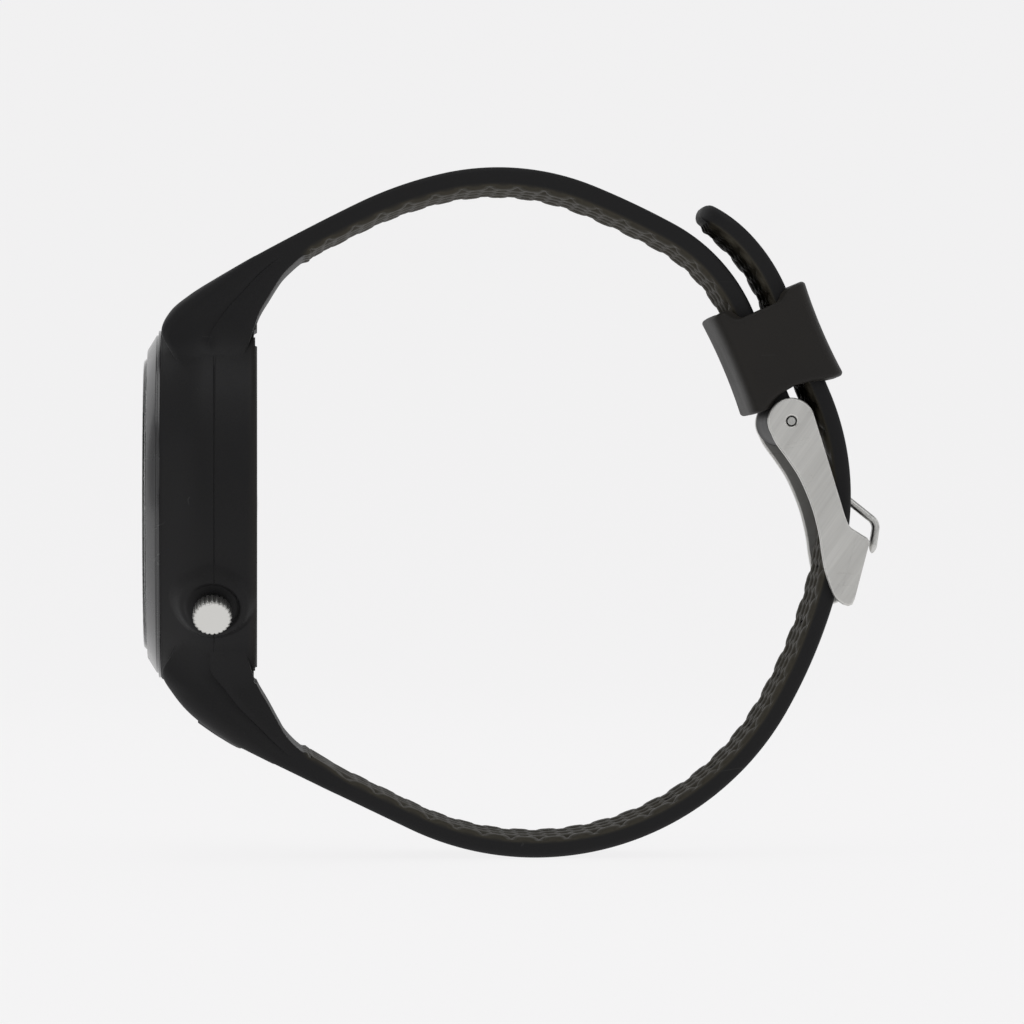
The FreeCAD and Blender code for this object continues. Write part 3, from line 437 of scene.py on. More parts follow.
def strap_points(at, outside, inside, half, corner, pads):
    """A strap's surface: at each station a rounded rectangle from its outer to its inner line.
    Pads stand on the inside: height = proud x (sqrt(1 - away^2) - dish), where away runs from 0 in the
    middle of the nearest pad to 1 at its rim; every other column is moved on by half a pitch. The sides
    of the root carry the parting line as a groove. Also gives how much painted light, showing through
    the silicone, each point gets: a little on the whole inner face and most on the pads."""
    groove = 0.13 * ramp(-11, -9, at) * ramp(6.5, 2.5, at)
    span = inside - outside
    thick = np.linalg.norm(span, axis=-1)
    span = span / thick[:, None]
    quarter = np.linspace(0, math.pi / 2, 8)
    flat_out, flat_in = np.linspace(-1, 1, 26), np.linspace(1, -1, 92)
    h, t, r = half[:, None], thick[:, None], corner[:, None]
    small = np.minimum(0.3, 0.3 * t)
    across = [flat_out[None, :] * (h - r), h - r + r * np.sin(quarter[1:]),
              np.broadcast_to(h, (len(at), 7)), h - small + small * np.cos(quarter[1:]),
              flat_in[None, 1:-1] * (h - small)]
    depth = [np.zeros((len(at), 26)), r - r * np.cos(quarter[1:]),
             r + (t - small - r) * np.array([.12, .3, .488, .5, .512, .7, .88])[None, :],
             t - small + small * np.sin(quarter[1:]), np.broadcast_to(t, (len(at), 90))]
    across[2] = across[2] - groove[:, None] * np.array([0, 0, 0, 1, 0, 0, 0])
    for lines, sign in ((across, -1), (depth, 1)):
        lines += [sign * lines[3][:, ::-1], sign * lines[2][:, ::-1], sign * lines[1][:, ::-1]]
    across, depth = np.concatenate(across, axis=1), np.concatenate(depth, axis=1)

    pitch = (half[:, None] - 1.25) / PAD_COLUMNS
    column = np.clip(np.round(across / pitch), -PAD_COLUMNS, PAD_COLUMNS)
    row = at[:, None] / PAD_PITCH + 0.5 * (column % 2)
    beside = (across - column * pitch) / (0.46 * pitch)
    beyond = (row - np.round(row)) * PAD_PITCH / (PAD_LENGTH / 2)
    away = np.sqrt(beside ** 2 + beyond ** 2)
    dome = np.sqrt(np.clip(1 - away ** 2, 0, 1)) - 0.42 * ramp(0.5, 0.1, away)
    inner_face = ramp(-0.32, -0.1, depth - t)
    depth = depth + PAD_PROUD * dome * inner_face * pads[:, None]
    depth = np.where(depth < 0.02, depth + 0.16 * (across / h) ** 2, depth)
    place = outside[:, None, :] + span[:, None, :] * depth[..., None]
    points = np.concatenate([across[..., None], place], axis=-1)
    # Painted light: this amount paints the inner face olive-brown, most on the pads, as light showing through.
    return points, inner_face * (0.04 + 0.96 * pads[:, None])


def strap(name, points, glow_through, cutters=()):
    """Closes a strap's surface with an end face at each end and cuts its slots through."""
    rows, columns = points.shape[:2]
    made = piece(name, points.reshape(-1, 3), tube(rows, columns), "band", ["silicone_band"])
    tint(made, glow_through)
    made.data.materials.append(BAND_BLACK)
    for cutter in cutters:
        cut_with(made, cutter)
    return made


def cut_with(target, cutter):
    """Takes the cutter's shape out of the target for good, and removes the cutter."""
    cut = target.modifiers.new("cut", "BOOLEAN")
    cut.operation, cut.solver, cut.object = "DIFFERENCE", "EXACT", cutter
    shaped = bpy.data.meshes.new_from_object(target.evaluated_get(bpy.context.evaluated_depsgraph_get()))
    target.modifiers.clear()
    old = target.data
    target.data = shaped
    bpy.data.meshes.remove(old)
    shaped.name = target.name
    bpy.data.objects.remove(cutter)


def prism(name, outline, low, high, to_space):
    """A flat outline pushed from low to high; to_space turns its (u, v, w) into millimetres."""
    outline = np.asarray(outline, float)
    count = len(outline)
    flat = np.concatenate([np.column_stack([outline, np.full(count, w)]) for w in (low, high)])
    mesh = bpy.data.meshes.new(name)
    mesh.from_pydata((to_space(flat) * MM).tolist(), [], slab(count))
    outwards(mesh)
    return linked(name, mesh)


def rounded_box(long, wide, corner, steps=6):
    """Outline of a rectangle with rounded corners, centred: four quarter circles in turn."""
    angle = np.linspace(0, 2 * math.pi, 4 * steps, endpoint=False) + math.pi / 4 / steps
    return np.stack([np.sign(np.cos(angle)) * (long / 2 - corner) + corner * np.cos(angle),
                     np.sign(np.sin(angle)) * (wide / 2 - corner) + corner * np.sin(angle)], axis=-1)


def filleted(points, half):
    """Widens a strap's root, point by point, into a fillet against the round sleeve wall at its level:
    an arc tangent to the strap's side and to the wall, and below it the wall itself, just under."""
    level, from_axis = -points[..., 1], abs(points[..., 2] - CASE_RISE)
    wall = wall_radius(level)
    middle = np.sqrt((wall + FILLET) ** 2 - (STRAP_HALF + FILLET) ** 2)
    arc = STRAP_HALF + FILLET - np.sqrt(FILLET ** 2 - np.clip(middle - from_axis, 0, FILLET) ** 2)
    under = np.sqrt(np.clip(wall ** 2 - from_axis ** 2, 1, None)) - 0.06
    below = from_axis < middle * wall / (wall + FILLET)
    edge = np.where(below, np.minimum(under, STRAP_HALF + FILLET / 2), arc)
    wider = np.where(level > 24, np.maximum(edge - STRAP_HALF, 0), 0)
    points[..., 0] *= 1 + wider / half[:, None]


def edge_round(plain, at, outside, inside):
    """Radius of a strap's outer edges: plain, larger near the root, never half the thickness."""
    rounded = plain + 1.7 * ramp(6, -3, at) * ramp(-9.5, -5, at)
    return np.minimum(rounded, 0.46 * np.linalg.norm(inside - outside, axis=-1))


def tapered(outside):
    """Strap's half width: full at the case, narrowing evenly with distance from it to the buckle."""
    width = STRAP_HALF - (STRAP_HALF - STRAP_END_HALF) * np.clip((outside[:, 0] + 28) / 51, 0, 1)
    return np.minimum.accumulate(width)


# Upper half, which ends in the boss round the buckle's spring bar.
UPPER_CHAIN = ((-32.10, 24.57), 30.4,
               [(17.3, -4.3), (9.6, -13.0), (16.6, -35.0), (9.4, -6.2), (12.9, -38.9), (12.0, 0.0)])
UPPER_ROOT = [(-16.0, -34.4, 12.0, -29.4, 12.0), (-11.2, -36.2, 16.2, -28.7, 16.0),
              (-8.2, -37.55, 19.05, -28.0, 18.6), (-5.5, -36.6, 21.3, -27.15, 21.1),
              (-2.9, -34.6, 23.0, -26.1, 22.9), (0.0, -32.1, 24.57, -24.9, 24.8),
              (4.0, 0, 0, -23.6, 26.2), (8.0, 0, 0, -22.3, 27.3), (11.2, 0, 0, -21.0, 28.35)]
UPPER_THICK, LOWER_THICK = 2.1, 1.9
STEP = 0.25                     # between stations along a strap
BOSS_RADIUS = 2.5
straight_from = sum(length for length, bend in UPPER_CHAIN[2][:-1])
corner_point, corner_heading = arcs(*UPPER_CHAIN, np.array([straight_from]))
way = np.array([math.cos(corner_heading[0]), math.sin(corner_heading[0])])
pivot_station = straight_from + float((PIVOT - corner_point[0]) @ way)
pivot_depth = float(-(PIVOT - corner_point[0]) @ np.array([-way[1], way[0]]))
at, outside, inside = strap_lines(UPPER_ROOT, UPPER_CHAIN, UPPER_THICK, pivot_station + BOSS_RADIUS - 0.01, STEP)
past = np.clip(at - pivot_station, -BOSS_RADIUS, BOSS_RADIUS)
bulge = np.sqrt(np.maximum(BOSS_RADIUS ** 2 - past ** 2, 0))
in_boss = (at > pivot_station - BOSS_RADIUS).astype(float)
normal = (inside - outside) / np.linalg.norm(inside - outside, axis=-1)[:, None]
rise, sink = bulge - pivot_depth, bulge + pivot_depth - UPPER_THICK
rise, sink = (np.where(at < pivot_station, np.maximum(by, 0), by) * in_boss for by in (rise, sink))
outside = outside - normal * rise[:, None]
inside = inside + normal * sink[:, None]
half = tapered(outside)
corner = edge_round(0.75, at, outside, inside)
pads = ramp(7.0, 8.6, at) * ramp(pivot_station - 2.4, pivot_station - 2.8, at)
points, glow_through = strap_points(at, outside, inside, half, corner, pads)
filleted(points, half)


def swung(flat, angle, middle):
    """Turns (u along the angle, v square to it, w across the band) into millimetres."""
    u, v, w = flat.T
    return np.stack([w, middle[0] + u * math.cos(angle) - v * math.sin(angle),
                     middle[1] + u * math.sin(angle) + v * math.cos(angle)], axis=-1)


TANG_ANGLE = math.radians(-52.5)
slot_outline = np.array([(-2.05, -0.95), (-1.4, -1.75), (0, -2.05), (4.5, -2.05), (4.5, 2.05), (0, 2.05),
                         (-1.4, 1.75), (-2.05, 0.95)])
tang_slot = prism("tang_slot", slot_outline, -1.35, 1.35, lambda flat: swung(flat, TANG_ANGLE, PIVOT))
turnpoints = np.linspace(0, 2 * math.pi, 32, endpoint=False)
bar_bore = prism("bar_bore", 0.8 * np.stack([np.cos(turnpoints), np.sin(turnpoints)], axis=-1), -10, 10,
                 lambda flat: swung(flat, 0.0, PIVOT))
upper_strap = strap("band_upper_strap", points, glow_through, [tang_slot, bar_bore])

# Lower half: under the wrist, through the buckle and the keeper to the free tip, with its row of holes.
LOWER_RUNS = [(21.0, 0.6), (27.5, 50.6), (18.8, 35.4), (12.8, 12.9)]
TAIL_RUNS = [(8.4, 10.3), (14.5, 29.4), (11.9, 0.0), (12.9, 37.7)]
LOWER_CHAIN = ((-30.05, -24.55), -26.2, LOWER_RUNS + TAIL_RUNS)
LOWER_ROOT = [(-15.2, -34.4, -10.3, -29.4, -10.3), (-10.5, -36.4, -14.8, -28.6, -14.2),
              (-8.1, -37.45, -17.0, -28.0, -16.7), (-5.6, -36.4, -19.2, -27.3, -18.5),
              (-3.0, -34.2, -21.7, -26.2, -20.4), (0.0, -30.05, -24.55, -25.0, -22.6),
              (3.0, 0, 0, -24.4, -23.6), (6.0, 0, 0, -23.3, -24.8), (9.0, 0, 0, -22.0, -25.8),
              (11.6, 0, 0, -20.4, -26.8)]
HOLE_PITCH = 6.5
HOLE_LONG = 3.2
HOLE_WIDE = 2.2
TIP_CORNER = 6.0
TIP_ROUND = 0.95
whole = sum(length for length, bend in LOWER_CHAIN[2])
engaged = sum(length for length, bend in LOWER_RUNS) + TAIL_RUNS[0][0] + 2.6
at, outside, inside = strap_lines(LOWER_ROOT, LOWER_CHAIN, -LOWER_THICK, whole, STEP)
tip = np.sqrt(np.clip(1 - ((at - whole + TIP_ROUND) / TIP_ROUND).clip(0, 1) ** 2, 0.01, 1))
middle = (outside + inside) / 2
outside, inside = middle + (outside - middle) * tip[:, None], middle + (inside - middle) * tip[:, None]
round_off = np.clip((at - (whole - TIP_CORNER)) / TIP_CORNER, 0, 1)
half = tapered(outside) - TIP_CORNER * (1 - np.sqrt(1 - round_off ** 2)) * 0.98
half = np.maximum(half, 2.2)
thickness = np.linalg.norm(inside - outside, axis=-1)
corner = edge_round(0.72, at, outside, inside)
pads = ramp(7.6, 9.2, at) * ramp(whole - 1.2, whole - 2.0, at)
in_badge = ramp(-2.6, -2.35, at) * ramp(1.45, 1.2, at)
points, glow_through = strap_points(at, outside, inside, half, corner, pads)
lift = 0.42 * in_badge[:, None] * ramp(4.6, 4.3, abs(points[..., 0]))
normal = (inside - outside) / thickness[:, None]
on_face = np.einsum("ijk,ik->ij", points[..., 1:] - outside[:, None, :], normal) < 0.2
points[..., 1:] -= normal[:, None, :] * (lift * on_face)[..., None]
filleted(points, half)
cutters = []
for step in range(-6, 3):
    if step:
        middle, heading = arcs(*LOWER_CHAIN, np.array([engaged + step * HOLE_PITCH]))
        cutters.append(prism("hole_%d" % (step + 7), rounded_box(HOLE_LONG, HOLE_WIDE, 0.95), -3.4, 2.2,
                             lambda flat, m=middle[0], a=heading[0]:
                             swung(flat[:, [0, 2, 1]], a, m)))
tang_hole = prism("hole_in_use", rounded_box(HOLE_WIDE + 0.4, 3.4, 0.6), 4.7, 12.8,
                  lambda flat: swung(flat[:, [2, 1, 0]] + np.array([0, 0.98, 0]), TANG_ANGLE, PIVOT))
lower_strap = strap("band_lower_strap", points, glow_through, cutters + [tang_hole])

# Two shallow notches in the back rim, above and below the case back, for lifting the module out.
NOTCHES = [(17.5, 19.4), (-18.2, -16.4)]
for low, high in NOTCHES:
    notch = rounded_box(0.7, high - low, 0.34) + np.array([-SLEEVE_BACK, (low + high) / 2])
    for cut_piece in (sleeve, upper_strap if low > 0 else lower_strap):
        cut_with(cut_piece, prism("notch", notch, -14, 14, lambda flat: flat[:, [2, 0, 1]]))

# ---- Keeper ---------------------------------------------------------------------------------------
# A wide loop of the same silicone that slides along the strap and holds the tail down. Its ends dip
# where the strap runs through, and its faces are a little waisted between firm round rims.

KEEPER_NEAR, KEEPER_FAR = 27.2, 38.1
KEEPER_HALF = 10.15
KEEPER_WALL = 1.5
KEEPER_WAIST = 0.22
CORNER_POWER = 0.26
RIM_ROUND = 0.42
# (outward, lower edge, upper edge): both ends dip where the sides run past the strap
KEEPER_EDGES = np.array([(27.2, -0.4, 10.9), (28.4, -0.42, 10.85), (29.4, 0.1, 9.75), (30.9, 0.6, 9.6),
                         (32.9, 0.75, 9.6), (34.9, 0.45, 9.7), (35.9, 0.2, 10.35), (38.1, -0.25, 10.7)])
ALONG = np.array([0, -math.sin(END_TILT), math.cos(END_TILT)])
OUTWARD = np.array([0, math.cos(END_TILT), math.sin(END_TILT)])

# Loop: a rounded rectangle in (across, outward); wall section: a rounded bar carried round it.
loop_angle = np.linspace(0, 2 * math.pi, 240, endpoint=False)
loop_x = np.sign(np.cos(loop_angle)) * abs(np.cos(loop_angle)) ** CORNER_POWER
loop_n = np.sign(np.sin(loop_angle)) * abs(np.sin(loop_angle)) ** CORNER_POWER
quarter = np.linspace(0, math.pi / 2, 7)
drop, reach = RIM_ROUND * (1 - np.cos(quarter)), RIM_ROUND * (1 - np.sin(quarter))
# wall section, from the outside over the upper rim to the inside and back: how far inward, the share of
# the way from the lower edge to the upper one, and how far it is set in from there
way = np.linspace(0, 1, 30)[1:]
inward = np.concatenate([[0], 0 * way, -drop[1:], drop[::-1] - KEEPER_WALL, 0 * way - KEEPER_WALL,
                         drop[1:] - KEEPER_WALL, -drop[:0:-1]])
share = np.concatenate([[0], way, np.ones(13), 1 - way, np.zeros(12)])
inset = np.concatenate([[RIM_ROUND], RIM_ROUND * (1 - 2 * way), -reach[1:], -reach[::-1],
                        RIM_ROUND * (2 * way - 1), reach[1:], reach[:0:-1]])
waist = KEEPER_WAIST * (1 - (2 * share - 1) ** 2) * (inward > -KEEPER_WALL / 2)
mid_n, half_n = (KEEPER_NEAR + KEEPER_FAR) / 2, (KEEPER_FAR - KEEPER_NEAR) / 2
depth = inward[None, :] - waist[None, :]
x = loop_x[:, None] * (KEEPER_HALF + depth)
n = mid_n + loop_n[:, None] * (half_n + depth)
lower, upper = flow(KEEPER_EDGES[:, 0], KEEPER_EDGES[:, 1:], mid_n + loop_n * half_n).T
lift = lower[:, None] + (upper - lower)[:, None] * share + inset
points = x[..., None] * np.array([1, 0, 0]) + n[..., None] * OUTWARD + lift[..., None] * ALONG
keeper = piece("keeper_loop", points.reshape(-1, 3), quads(len(loop_angle), len(inward), ring_rows=True),
               "keeper", ["strap_keeper"])
# Painted light: the keeper is painted a little olive-brown all over, and more on its inner faces, as light showing
# through the silicone.
tint(keeper, 0.16 + 0.3 * np.broadcast_to((inward < -0.9)[None, :], x.shape))
KEEPER_BLACK = silicone("keeper_silicone", colour=(0.009, 0.0085, 0.0085), rubbed=(0.016, 0.0145, 0.013),
                        glow_through_colour=(0.042, 0.036, 0.027))
keeper.data.materials.append(KEEPER_BLACK)

# ---- Buckle ---------------------------------------------------------------------------------------
# Two stamped side plates and a front bar in one piece of stainless steel, brushed lengthwise, with
# eased edges. Round heads at the top turn on the tips of the spring bar.

PLATE_IN, PLATE_OUT = 8.55, 9.85
HEAD_RADIUS = 2.5
BUCKLE_EDGE = 0.24


def bevelled(target, width, segments=3, angle=40):
    """Rounds the sharp edges of a piece, whose angle is over the one given."""
    soft = target.modifiers.new("eased_edges", "BEVEL")
    soft.width, soft.segments, soft.limit_method = width * MM, segments, "ANGLE"
    soft.angle_limit = math.radians(angle)
    soft.harden_normals = True


def applied(target):
    """Makes a piece's modifiers part of its mesh."""
    shaped = bpy.data.meshes.new_from_object(target.evaluated_get(bpy.context.evaluated_depsgraph_get()))
    target.modifiers.clear()
    target.data = shaped
    shaped.name = target.name


head_turn = np.linspace(math.radians(20), math.radians(212), 40)
head = PIVOT + HEAD_RADIUS * np.stack([np.cos(head_turn), np.sin(head_turn)], axis=-1)
OUTER_EDGE = [(32.95, 6.6), (34.35, 2.0), (35.15, -0.6), (35.62, -1.55), (36.4, -2.1), (37.45, -2.75)]
INNER_EDGE = [(34.9, -9.85), (34.2, -9.35), (33.75, -8.6), (33.05, -6.6), (32.65, -4.6), (32.35, -2.5),
              (31.8, -0.2), (31.05, 1.9), (30.1, 3.9), (28.9, 5.7), (27.75, 7.3)]
knots = np.arange(len(OUTER_EDGE) + 1)
outer_edge = flow(knots, [head[0]] + OUTER_EDGE, np.linspace(0, len(OUTER_EDGE), 40))[1:]
knots = np.arange(len(INNER_EDGE) + 1)
inner_edge = flow(knots, INNER_EDGE + [head[-1]], np.linspace(0, len(INNER_EDGE), 60))[:-1]
front_edge = np.array([(37.72, -3.15), (36.10, -9.3), (35.85, -9.85), (35.4, -10.0)])
plate_outline = np.concatenate([outer_edge, front_edge, inner_edge, head[::-1][:-1]])
count = len(plate_outline)
frames = []
for side in (-1, 1):
    low, high = sorted((side * PLATE_IN, side * PLATE_OUT))
    flat = np.concatenate([np.column_stack([np.full(count, w), plate_outline]) for w in (low, high)])
    plate = piece("buckle_plate_left" if side < 0 else "buckle_plate_right", flat, slab(count), "buckle",
                  ["buckle_frame"], smooth=False)
    eye = prism("plate_eye", 0.55 * np.stack([np.cos(turnpoints), np.sin(turnpoints)], axis=-1), -12, 12,
                lambda flat: swung(flat, 0.0, PIVOT))
    cut_with(plate, eye)
    bevelled(plate, BUCKLE_EDGE, 3, 50)
    applied(plate)
    frames.append(plate)

# Front bar: a flat bar between the plates, its section a rounded rectangle lying along the slant.
BAR_ROWS = 40
BAR_THICK = 1.5
BAR_SINK = 0.78                 # the bar's middle behind the plates' front edge
top, foot = np.array([37.72, -3.15]), np.array([36.10, -9.3])
slant = (foot - top) / np.linalg.norm(foot - top)
square = np.array([slant[1], -slant[0]])
bar_section = rounded_box(np.linalg.norm(foot - top) - 0.1, BAR_THICK, 0.35, 8)
bar_middle = (top + foot) / 2 + square * BAR_SINK
bar_line = np.linspace(-PLATE_OUT - 0.04, PLATE_OUT + 0.04, BAR_ROWS)
place = bar_middle + bar_section[:, :1] * slant + bar_section[:, 1:] * square
points = np.concatenate([np.broadcast_to(bar_line[:, None, None], (BAR_ROWS, len(place), 1)),
                         np.broadcast_to(place[None], (BAR_ROWS, len(place), 2))], axis=-1)
front_bar = piece("buckle_front_bar", points.reshape(-1, 3), tube(BAR_ROWS, len(place)), "buckle",
                  ["buckle_frame"])
front_bar.data.set_sharp_from_angle(angle=math.radians(50))

# Brushing: noise drawn out along the strokes, as fine bright and dull lines with a few deep ones.
strokes, strokes_in, strokes_out = group("brushing", [("Fine", 900.0), ("Length", 0.03), ("Turn", 0.0)],
                                         ["Lines", "Deep"])
spin = add(strokes, "VectorRotate", {"rotation_type": "X_AXIS"}, Vector=strokes_in.outputs["Position"],
           Angle=strokes_in.outputs["Turn"])
drawn = add(strokes, "CombineXYZ", X=1.0, Y=1.0, Z=strokes_in.outputs["Length"])
laid = add(strokes, "VectorMath", {"operation": "MULTIPLY"}, i0=spin.outputs[0], i1=drawn.outputs[0])
fine = add(strokes, "TexNoise", Vector=laid.outputs[0], Scale=strokes_in.outputs["Fine"], Detail=4.0,
           Roughness=0.7)
broad = add(strokes, "TexNoise", Vector=laid.outputs[0], Scale=times(strokes, strokes_in.outputs["Fine"], 0.22),
            Detail=2.0)
feed(strokes, strokes_out, Lines=fine.outputs["Fac"],
     Deep=add(strokes, "MapRange", i0=broad.outputs["Fac"], i1=0.52, i2=0.68, i3=0.0, i4=1.0).outputs[0])


def brushed(name, colour, dull, roughness, turn_angle, fine=2600.0, inner_face=None):
    """Brushed stainless steel with its strokes at an angle in the side view. Faces nearer the middle plane
    than inner_face, in metres, are painted dark: painted shade and a painted reflection of the black strap."""
    made, tree, shader, place = material(name, colour, roughness, 1.0)
    stroke = use(tree, strokes, place, Fine=fine, Length=0.03, Turn=turn_angle)
    wear = use(tree, scratch, place, Scale=210.0, Width=0.01, Cover=0.55)
    tone = mixed(tree, stroke["Lines"], dull, colour)
    tone = mixed(tree, times(tree, stroke["Deep"], 0.3), tone, dull)
    if inner_face:
        # Painted shade: the plates' inner faces are painted dark, for the shade between the plates and the black
        # strap they reflect.
        across = mathed(tree, "ABSOLUTE", add(tree, "SeparateXYZ", Vector=place).outputs[0])
        painted_inner_shade = add(tree, "MapRange", i0=across, i1=inner_face, i2=inner_face - 0.00006, i3=0.0, i4=1.0)
        tone = mixed(tree, painted_inner_shade.outputs[0], tone, tuple(0.28 * c for c in dull))
    rough = between(tree, stroke["Lines"], roughness - 0.09, roughness + 0.12)
    feed(tree, shader, Base_Color=tone, Roughness=plus(tree, rough, times(tree, wear["Mask"], 0.12)))
    height = mathed(tree, "SUBTRACT", stroke["Lines"], times(tree, wear["Mask"], 0.8))
    bumped(tree, shader, height, 0.000012)
    return made


STEEL, STEEL_DULL = (0.72, 0.715, 0.69), (0.5, 0.495, 0.475)
STROKE_ANGLE = math.radians(35)
BUCKLE_STEEL = brushed("buckle_steel", STEEL, STEEL_DULL, 0.4, STROKE_ANGLE)
# The side plates' inner faces get painted shade and a painted reflection of the strap.
PLATE_STEEL = brushed("plate_steel", STEEL, STEEL_DULL, 0.4, STROKE_ANGLE, inner_face=(PLATE_IN + 0.04) * MM)
front_bar.data.materials.append(BUCKLE_STEEL)
for made in frames:
    made.data.materials.append(PLATE_STEEL)

# ---- Tang -----------------------------------------------------------------------------------------
# A strip of steel rolled into an eye round the spring bar. It runs through the hole in use and curls
# over the front bar of the buckle.

TANG_HALF = 1.0
TANG_THICK = 0.75
TANG_EYE = 1.6
TANG_BORE = 0.82
TANG_RUNS = [(9.1, 0.0), (0.8, 14.0), (4.15, 0.0), (1.3, -60.0), (2.6, 0.0)]
ARM_ROWS = 90
TIP_EASE = 0.7                  # length over which the end is rounded off
stations = np.linspace(1.2, sum(length for length, bend in TANG_RUNS), ARM_ROWS)
line, heading = arcs(PIVOT, math.degrees(TANG_ANGLE), TANG_RUNS, stations)
end_ease = np.sqrt(np.clip((stations[-1] + 0.02 - stations) / TIP_EASE, 0.03, 1))
tang_section = rounded_box(2 * TANG_HALF, TANG_THICK, 0.26, 5)
normal = np.stack([-np.sin(heading), np.cos(heading)], axis=-1)
x = np.broadcast_to(tang_section[:, 0], (ARM_ROWS, len(tang_section))) * end_ease[:, None]
place = line[:, None, :] + normal[:, None, :] * tang_section[None, :, 1:] * end_ease[:, None, None]
points = np.concatenate([x[..., None], place], axis=-1)
tang_arm = piece("tang_arm", points.reshape(-1, 3), tube(ARM_ROWS, len(tang_section)), "tang",
                 ["buckle_tang"])
eye_section = np.array([(0, TANG_BORE), (0.84, TANG_BORE), (0.97, TANG_BORE + 0.06), (1.0, TANG_BORE + 0.18),
                        (1.0, TANG_EYE - 0.22), (0.93, TANG_EYE - 0.07), (0.78, TANG_EYE), (0, TANG_EYE),
                        (-0.78, TANG_EYE), (-0.93, TANG_EYE - 0.07), (-1.0, TANG_EYE - 0.22),
                        (-1.0, TANG_BORE + 0.18), (-0.97, TANG_BORE + 0.06), (-0.84, TANG_BORE)])
turns = np.linspace(0, 2 * math.pi, 64, endpoint=False)
points = np.stack([np.broadcast_to(eye_section[:, 0], (64, 14)),
                   PIVOT[0] + eye_section[:, 1] * np.cos(turns)[:, None],
                   PIVOT[1] + eye_section[:, 1] * np.sin(turns)[:, None]], axis=-1)
tang_eye = piece("tang_eye", points.reshape(-1, 3), quads(64, 14, ring_rows=True), "tang",
                 ["buckle_tang"])
TANG_STEEL = brushed("tang_steel", (0.7, 0.7, 0.68), (0.46, 0.455, 0.44), 0.32, TANG_ANGLE + math.pi / 2)
for made in (tang_arm, tang_eye):
    made.data.materials.append(TANG_STEEL)

# ---- Crown ----------------------------------------------------------------------------------------
# A small turned steel crown with straight knurling. It turns, and it is pushed in as a button.

CAP_RADIUS = 2.05
CAP_IN, CAP_OUT = 22.3, 24.0
CAP_BORE = 1.35
TEETH = 24
TOOTH_DEPTH = 0.17
tooth_angle = np.linspace(0, 2 * math.pi, TEETH * 10, endpoint=False)
tooth = abs(np.cos(tooth_angle * TEETH / 2)) ** 0.75
# (radius, height, how much of the knurling shows) from the underside over the rim to the end face
cap_profile = np.array([
    (CAP_BORE, 23.1, 0), (CAP_BORE, CAP_IN + 0.1, 0), (CAP_BORE + 0.1, CAP_IN, 0), (1.8, CAP_IN, 0.2),
    (1.98, CAP_IN + 0.08, 1), (CAP_RADIUS, CAP_IN + 0.25, 1), (CAP_RADIUS, 23.1, 1),
    (CAP_RADIUS, CAP_OUT - 0.2, 1), (2.01, CAP_OUT - 0.09, 1), (1.9, CAP_OUT - 0.015, 0.95),
    (1.8, CAP_OUT, 0.25), (1.7, CAP_OUT, 0),
    (1.2, CAP_OUT + 0.012, 0), (0.6, CAP_OUT + 0.02, 0), (0.05, CAP_OUT + 0.022, 0)])
radius = cap_profile[None, :, 0] - TOOTH_DEPTH * cap_profile[None, :, 2] * (1 - tooth[:, None])
side_way = np.array([0, 1, 0])
up_way = np.cross(CROWN_AXIS, side_way)
turned_way = np.cos(tooth_angle)[:, None, None] * side_way + np.sin(tooth_angle)[:, None, None] * up_way
points = CROWN_FOOT + cap_profile[None, :, 1, None] * CROWN_AXIS + radius[..., None] * turned_way
crown_cap = piece("crown_knob", points.reshape(-1, 3), spindle(len(tooth_angle), len(cap_profile)), "crown",
                  ["crown_cap"])
crown_cap.data.set_sharp_from_angle(angle=math.radians(45))
CROWN_STEEL, tree, shader, place = material("crown_steel", (0.78, 0.775, 0.75), 0.3, 1.0)
spun = add(tree, "Mapping", Vector=place, Location=tuple(-CROWN_FOOT * MM))
turned_to = add(tree, "VectorRotate", {"rotation_type": "Y_AXIS"}, Vector=spun.outputs[0], Angle=-CROWN_TILT)
split = add(tree, "SeparateXYZ", Vector=turned_to.outputs[0])
ring = from_line(tree, split.outputs[1], split.outputs[2])
spokes = add(tree, "CombineXYZ", X=ring, Y=0.0, Z=0.0)
turning = add(tree, "TexNoise", Vector=spokes.outputs[0], Scale=9000.0, Detail=3.0)
worn = use(tree, scratch, place, Scale=420.0, Width=0.012, Cover=0.5)
knurled = add(tree, "MapRange", i0=ring, i1=0.0018, i2=0.00195, i3=0.0, i4=0.75).outputs[0]
tone = mixed(tree, times(tree, worn["Mask"], 0.5), (0.68, 0.675, 0.65), (0.45, 0.45, 0.43))
feed(tree, shader, Roughness=between(tree, turning.outputs["Fac"], 0.24, 0.44),
     Base_Color=mixed(tree, knurled, tone, (0.26, 0.26, 0.25)))
bumped(tree, shader, turning.outputs["Fac"], 0.000006)
crown_cap.data.materials.append(CROWN_STEEL)

# ---- Bezel and crystal ----------------------------------------------------------------------------
# The bezel is a black-coated steel ring with a groove, a sloped band and a narrow flat face; the clear
# crystal stands a little proud of it, with a small bright chamfer.

ROUND_TURNS = np.linspace(0, 2 * math.pi, 256, endpoint=False)


def eased(corners, radius, steps=4):
    """A closed profile with every corner cut to a small arc: a quadratic curve from a point one radius
    before the corner to one radius after it."""
    corners = np.asarray(corners, float)
    before, after = np.roll(corners, 1, axis=0), np.roll(corners, -1, axis=0)
    to_before, to_after = before - corners, after - corners
    lengths = [np.linalg.norm(way, axis=-1, keepdims=True) for way in (to_before, to_after)]
    reach = np.minimum(radius, 0.45 * np.minimum(*lengths))
    start, end = corners + to_before / lengths[0] * reach, corners + to_after / lengths[1] * reach
    t = np.linspace(0, 1, steps)[None, :, None]
    curve = (1 - t) ** 2 * start[:, None] + 2 * t * (1 - t) * corners[:, None] + t * t * end[:, None]
    return curve.reshape(-1, 2)


